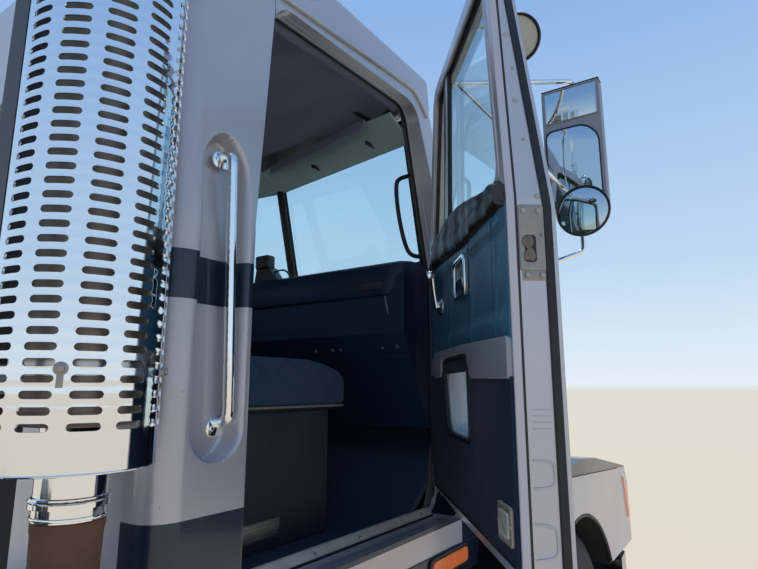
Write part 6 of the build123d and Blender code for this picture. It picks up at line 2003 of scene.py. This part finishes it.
# ---------------------------------------------------------------- wheels
@dataclass
class Wheels(Fitting):
    """Tyres with tread blocks and sidewall rings, wheel nuts, hub caps and valves."""

    radius: float = 0.520
    half: float = 0.140
    bead: float = 0.287
    steps: int = 156

    def profile(self) -> list[tuple]:
        """Half of the section, from the inner bead to the middle of the tread: radius, width, kind."""
        h, r = self.half, self.radius
        wall = [(self.bead, 0.112, 0), (self.bead + 0.008, 0.117, 0), (self.bead + 0.020, 0.119, 0),
                (self.bead + 0.026, 0.1235, 0), (self.bead + 0.060, 0.134, 0), (self.bead + 0.100, h - 0.001, 0),
                (self.bead + 0.106, h + 0.000, 0), (self.bead + 0.112, h - 0.001, 0), (self.bead + 0.150, 0.1355, 0),
                (self.bead + 0.156, 0.1365, 0), (self.bead + 0.185, 0.1265, 0), (r - 0.034, 0.1195, 1),
                (r - 0.012, 0.1085, 1), (r - 0.0045, 0.1010, 1), (r - 0.001, 0.0930, 1)]
        tread = [(r - 0.0004, 0.0720, 1), (r - 0.0004, 0.0715, 2), (r - 0.014, 0.0690, 2), (r - 0.014, 0.0640, 2),
                 (r, 0.0615, 2), (r, 0.0300, 3), (r - 0.014, 0.0280, 3), (r - 0.014, 0.0230, 3), (r, 0.0205, 3),
                 (r, 0.0, 3)]
        return wall + tread

    def tyre(self, drive: bool) -> bpy.types.Object:
        """One tyre at the origin with its axle along Y.

        Args:
            drive: whether it has the drive axle's deep shoulder blocks.

        Returns:
            The new object.
        """
        half = self.profile()
        full = [(r, -w, k) for r, w, k in half] + [(r, w, k) for r, w, k in half[-2::-1]]
        rings = []
        for step in range(self.steps):
            angle = 2 * math.pi * step / self.steps
            ring = []
            for r, w, kind in full:
                beat = (step + (2 if w > 0 else 0)) % 6
                cut = 0.0
                if drive and kind == 1 and beat in (0, 1) and r > self.radius - 0.013:
                    cut = 0.013
                elif drive and kind in (2, 3) and (step + (0 if kind == 2 else 3)) % 6 == 0 and r > self.radius - 0.005:
                    cut = 0.011
                elif not drive and kind == 1 and beat == 0 and r > self.radius - 0.006:
                    cut = 0.005
                reach = r - cut
                ring.append((reach * math.cos(angle), w, reach * math.sin(angle)))
            rings.append(ring)
        rings.append(rings[0])
        return Shop.loft(np.array(rings), True, False)

    def nuts(self, side: int, face: float, cap: list) -> bpy.types.Object:
        """Ten wheel nuts with washers and studs round a hub cap.

        Args:
            side: -1 on the right.
            face: how far out the disc's flat face is.
            cap: the hub cap's section, as radius and distance out.

        Returns:
            The new object, round the wheel's middle.
        """
        parts = [Shop.rod((0.1185, side * (face + start), 0), (0.1185, side * (face + end), 0), radius, sides, 0.001)
                 for start, end, radius, sides in ((-0.001, 0.004, 0.021, 20), (0.003, 0.026, 0.0165, 6),
                                                   (0.024, 0.037, 0.0105, 12))]
        turns = [Matrix.Rotation(math.radians(36 * k + 18), 4, "Y") for k in range(10)]
        return Shop.join([Shop.array(Shop.join(parts), turns), Shop.lathe(cap, (0, 0, 0), (0, side, 0), 40)])

    def build(self) -> None:
        """Make the tyres, nuts, caps and valves of every wheel."""
        steer, drive = self.tyre(False), self.tyre(True)
        front_cap = [(0.0865, 0.105), (0.0885, 0.112), (0.0850, 0.118), (0.0660, 0.168), (0.0590, 0.1745),
                     (0.0250, 0.1765), (0, 0.177)]
        drive_cap = [(0.0865, -0.152), (0.0885, -0.146), (0.0850, -0.138), (0.0640, -0.050), (0.0580, -0.0420),
                     (0.0250, -0.0400), (0, -0.040)]
        for side in Side:
            s, word = side.sign, side.value
            wheels = [("front", STEER_X, 1.030, 0.102, front_cap, steer, f"front_tyre_{word}")]
            wheels += [(axle, x, 1.080, -0.156, drive_cap, drive, f"drive_tyres_{axle}_{word}")
                       for axle, x in (("forward", FORWARD_X), ("rearward", REARWARD_X))]
            for axle, x, y, face, cap, tyre, node in wheels:
                body = f"wheel_{axle}_{word}"
                spots = (y,) if axle == "front" else (y, 0.740)
                rubber = [Shop.copy(tyre, Matrix.Translation((x, s * spot, AXLE_Z))) for spot in spots]
                self.lay(Shop.join(rubber), f"{axle}_tread_{word}", F.TYRE, None, [node], "tyre", body)
                hub = self.nuts(s, face, cap)
                hub.data.transform(Matrix.Translation((x, s * y, AXLE_Z)))
                self.lay(hub, f"{axle}_nuts_{word}", F.CHROME, body=body)
                valve = [(x + ahead, s * (y + out), AXLE_Z)
                         for ahead, out in ((0.262, 0.070), (0.250, 0.082), (0.238, 0.100))]
                self.lay(Shop.sweep(valve, 0.004, 8), f"{axle}_valve_{word}", F.ZINC, 60, body=body)
        for one in (steer, drive):
            bpy.data.objects.remove(one)


# ---------------------------------------------------------------- chassis fittings
class Chassis(Fitting):
    """Tank straps, treads, battery box lid, frame bolts, lamps, flaps, coupling, wipers and exhaust clamps."""

    def build(self) -> None:
        """Make every piece."""
        self.tanks()
        self.boxes()
        self.rear()
        self.coupling()
        self.cab_outside()

    def tanks(self) -> None:
        """Straps with their bolts, a filler cap, and treads on the steps."""
        bands, bolts = [], []
        for x in (0.78, 1.47):
            ring = [(0.3052, -0.026), (0.3085, -0.024), (0.3085, 0.024), (0.3052, 0.026)]
            bands.append(Shop.lathe(ring, (x, -0.905, 0.725), (1, 0, 0), 96, True))
            bolts.append(Shop.rod((x, -0.66, 1.010), (x, -0.66, 0.955), 0.007, 12))
            bolts.append(Shop.box((x - 0.022, -0.690, 0.975), (x + 0.022, -0.655, 0.985), 0.002))
        self.pair(Shop.join(bands), "tank_straps", F.STEEL)
        self.pair(Shop.join(bolts), "strap_bolts", F.ZINC)
        cap = [(0, 0.048), (0.030, 0.048), (0.052, 0.044), (0.056, 0.038), (0.056, 0.018), (0.050, 0.014),
               (0.050, -0.020)]
        self.pair(Shop.lathe(cap, (1.60, -1.050, 0.992), (0, -0.48, 0.88), 40), "filler_cap", F.CHROME)
        treads = []
        for z, out in ((0.560, 1.235), (0.890, 1.195)):
            tread = Shop.rod((0, -1.152, z), (0, -(out - 0.008), z), 0.0032, 6, 0.0008)
            treads.append(Shop.array(tread, [(x, 0, 0) for x in np.arange(1.100, 1.505, 0.0225)]))
        self.pair(Shop.join(treads), "step_treads", F.ZINC, 0)

    def boxes(self) -> None:
        """The battery box's lid and latches, and the air tanks' bands."""
        lid = Shop.box((-0.164, 0.440, 0.902), (0.484, 1.1235, 0.964), 0.012, 3)
        self.lay(lid, "battery_lid", F.ALUMINIUM)
        latches = []
        for x in (-0.02, 0.34):
            latches.append(Shop.box((x - 0.016, 1.1205, 0.780), (x + 0.016, 1.1300, 0.920), 0.005))
            latches.append(Shop.rod((x - 0.034, 1.134, 0.915), (x + 0.034, 1.134, 0.915), 0.009, 12))
        self.lay(Shop.join(latches), "battery_latches", F.RUBBER)
        rings = []
        for z in (0.655, 0.885):
            for x in (-0.38, 0.13):
                ring = [(0.1052, -0.018), (0.1075, -0.016), (0.1075, 0.016), (0.1052, 0.018)]
                rings.append(Shop.lathe(ring, (x, -0.560, z), (1, 0, 0), 56, True))
            rings.append(Shop.rod((-0.502, -0.560, z - 0.06), (-0.535, -0.560, z - 0.06), 0.012, 6, 0.001))
        self.lay(Shop.join(rings), "air_tank_bands", F.ZINC)
        places = [(x, 0, z) for x in np.arange(-3.30, 3.20, 0.145) for z in (0.800, 0.930)
                  if not (-2.95 < x < -2.42 or -1.63 < x < -1.10 or 2.1 < x < 2.75)]
        self.pair(Shop.array(Shop.rod((0, -0.4315, 0), (0, -0.4405, 0), 0.0105, 6, 0.001), places), "frame_bolts",
                  F.ZINC, 30)

    def rear(self) -> None:
        """The lamp bar with ribbed flaps, brackets and lamps, in place of the plain one."""
        x = REAR_X
        bars, flaps, lens, rims = [], [], [], []
        for side in Side:
            s = side.sign
            low, high = sorted((s * 0.432, s * 1.180))
            bars.append(Shop.box((x + 0.010, low, 0.860), (x + 0.060, high, 0.940), 0.006, 3))
            low, high = sorted((s * 0.590, s * 1.190))
            flaps.append(Shop.box((x + 0.025, low, 0.300), (x + 0.033, high, 0.860), 0.003))
            rib = Shop.rod((x + 0.024, 0, 0.34), (x + 0.024, 0, 0.80), 0.0035, 6, 0.001)
            flaps.append(Shop.array(rib, [(0, s * y, 0) for y in np.linspace(0.63, 1.15, 14)]))
            bolt = Shop.rod((x + 0.018, 0, 0.845), (x + 0.040, 0, 0.845), 0.009, 6, 0.001)
            rims.append(Shop.array(bolt, [(0, s * y, 0) for y in (0.64, 0.80, 0.98, 1.14)]))
            for y in (0.680, 0.800):
                lens.append(Shop.lathe([(0, 0.0118), (0.026, 0.0105), (0.038, 0.0070), (0.042, 0.0), (0.042, -0.004)],
                                       (x + 0.012, s * y, 0.900), (-1, 0, 0), 40))
                rims.append(Shop.lathe([(0.0415, 0.004), (0.0450, 0.0090), (0.0500, 0.0060), (0.0500, -0.004)],
                                       (x + 0.012, s * y, 0.900), (-1, 0, 0), 40))
        self.lay(Shop.join(bars), "rear_bar", F.FRAME, None, ["rear_lamp_bar"], "lamp_bar")
        self.lay(Shop.join(flaps), "mud_flaps", F.RUBBER)
        self.lay(Shop.join(lens), "tail_lenses", F.RED)
        self.lay(Shop.join(rims), "tail_rims", F.ZINC)

    def coupling(self) -> None:
        """The fifth wheel's jaws, release bar and grease."""
        jaws = [(0.0300, 0.0), (0.0300, 0.030), (0.0520, 0.030), (0.0560, 0.026), (0.0560, 0.0)]
        parts = [Shop.lathe(jaws, (COUPLING_X, 0, 1.1540), (0, 0, 1), 40, True)]
        parts.append(Shop.sweep([(-1.80, -0.30, 1.135), (-1.80, -0.44, 1.135), (-1.79, -0.49, 1.120),
                                 (-1.76, -0.49, 1.085)], 0.009, 12))
        self.lay(Shop.join(parts), "coupling_jaws", F.WORN_IRON, body="fifth_wheel")
        smear = rounded([(-1.60, -0.24), (-1.52, -0.05), (-1.52, 0.12), (-1.62, 0.26), (-1.86, 0.33), (-2.10, 0.29),
                         (-2.16, 0.22), (-2.00, 0.12), (-1.86, 0.08), (-1.78, 0.0), (-1.86, -0.09), (-2.02, -0.13),
                         (-2.15, -0.23), (-2.06, -0.31), (-1.80, -0.32)], 0.04, 5)
        self.lay(Shop.panel(on_z(smear, 1.1885), (0, 0, 0.0014), (), 0), "grease_film", F.BLACK, 0, body="fifth_wheel")

    def cab_outside(self) -> None:
        """Wipers and exhaust clamps."""
        blades = []
        for near, far in ((0.10, 0.52), (0.46, 0.85)):
            line = [(1.930 - 0.264 * y - 0.249 * (z - 2.13) + 0.014, -y, z)
                    for y, z in ((near, 2.140), ((near + far) / 2, 2.143), (far, 2.147))]
            blades.append(Shop.sweep(line, 0.006, 8))
            pivot = (1.930 - 0.264 * near + 0.006, -near, 2.120)
            blades.append(Shop.rod((pivot[0], pivot[1], 2.1110), (pivot[0], pivot[1], 2.136), 0.014, 16, 0.003))
            blades.append(Shop.sweep([(pivot[0], pivot[1], 2.134), (pivot[0] + 0.012, -near - 0.10, 2.146), line[1]],
                                     0.0065, 8))
        self.pair(Shop.join(blades), "wipers", F.BLACK)
        clamps = []
        for z in (1.560, 3.070):
            ring = [(0.0515, -0.016), (0.0545, -0.014), (0.0545, 0.014), (0.0515, 0.016)]
            clamps.append(Shop.lathe(ring, (*STACK, z), (0, 0, 1), 48, True))
        self.lay(Shop.join(clamps), "stack_clamps", F.ZINC)


def main() -> None:
    """Build the whole vehicle's looks and its stage."""
    logging.basicConfig(level=logging.INFO, format="%(message)s")
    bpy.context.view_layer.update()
    dress_nodes()
    for side in Side:
        CornerPanel().build(side)
    GrabHandle().build()
    HeatShield().build()
    StackSleeve().build()
    Doors().build()
    Mirrors().build()
    Openings().build()
    Seats().build()
    Cabin().build()
    Front().build()
    Wheels().build()
    Chassis().build()
    Studio().build()
    log.info("%d pieces", PIECES.count)


@dataclass
class Studio:
    """Floor, sky light, lamps and the camera at the photograph's place."""

    eye: tuple = (-0.125, -1.906, 1.660)
    heading_deg: float = 34.31
    pitch_deg: float = 10.66
    lens: float = 26.12

    def build(self) -> None:
        """Set the stage."""
        scene = bpy.context.scene
        scene.view_settings.view_transform = "Standard"
        data = bpy.data.cameras.new("camera")
        data.lens = self.lens
        data.sensor_width = 36
        data.clip_start = 0.05
        camera = bpy.data.objects.new("camera", data)
        scene.collection.objects.link(camera)
        camera.location = self.eye
        head, pitch = math.radians(self.heading_deg), math.radians(self.pitch_deg)
        look = Vector((math.cos(head) * math.cos(pitch), math.sin(head) * math.cos(pitch), math.sin(pitch)))
        camera.rotation_euler = look.to_track_quat("-Z", "Y").to_euler()
        scene.camera = camera
        self.floor()
        self.sky()
        self.lamps()

    def floor(self) -> None:
        """A plain pale floor."""
        Shop.clear()
        bpy.ops.mesh.primitive_plane_add(size=900, location=(0, 0, 0))
        floor = bpy.context.object
        floor.name = "floor"
        made = bpy.data.materials.new("floor")
        made.use_nodes = True
        made.node_tree.nodes["Principled BSDF"].inputs["Base Color"].default_value = rgb(0.69, 0.56, 0.385)
        made.node_tree.nodes["Principled BSDF"].inputs["Roughness"].default_value = 0.9
        floor.data.materials.append(made)

    def sky(self) -> None:
        """A pale sky, bluer overhead, that lights the object and shows in metal and glass."""
        world = bpy.data.worlds.new("sky")
        bpy.context.scene.world = world
        world.use_nodes = True
        tree = world.node_tree
        n = Nodes(tree)
        place = tree.nodes.new("ShaderNodeTexCoord")
        split = tree.nodes.new("ShaderNodeSeparateXYZ")
        tree.links.new(place.outputs["Generated"], split.inputs[0])
        ramp = tree.nodes.new("ShaderNodeValToRGB")
        tree.links.new(n.math("MULTIPLY_ADD", split.outputs["Z"], 0.5, 0.5), ramp.inputs[0])
        stops = ((0.0, rgb(0.62, 0.58, 0.50)), (0.498, rgb(0.76, 0.73, 0.66)), (0.503, rgb(0.78, 0.87, 0.94)),
                 (0.60, rgb(0.52, 0.70, 0.90)), (0.80, rgb(0.27, 0.46, 0.80)), (1.0, rgb(0.20, 0.38, 0.72)))
        while len(ramp.color_ramp.elements) < len(stops):
            ramp.color_ramp.elements.new(0.5)
        for element, (place_at, color) in zip(ramp.color_ramp.elements, stops):
            element.position = place_at
            element.color = color
        tree.links.new(ramp.outputs[0], tree.nodes["Background"].inputs["Color"])
        tree.nodes["Background"].inputs["Strength"].default_value = 1.0

    def lamps(self) -> None:
        """One soft sun high over the left front."""
        data = bpy.data.lights.new("sun", "SUN")
        data.energy = 2.7
        data.angle = math.radians(12)
        data.color = (1.0, 0.96, 0.90)
        sun = bpy.data.objects.new("sun", data)
        sun.rotation_euler = Vector((-0.30, -0.20, -0.93)).to_track_quat("-Z", "Y").to_euler()
        bpy.context.scene.collection.objects.link(sun)


if __name__ == "__main__":
    main()
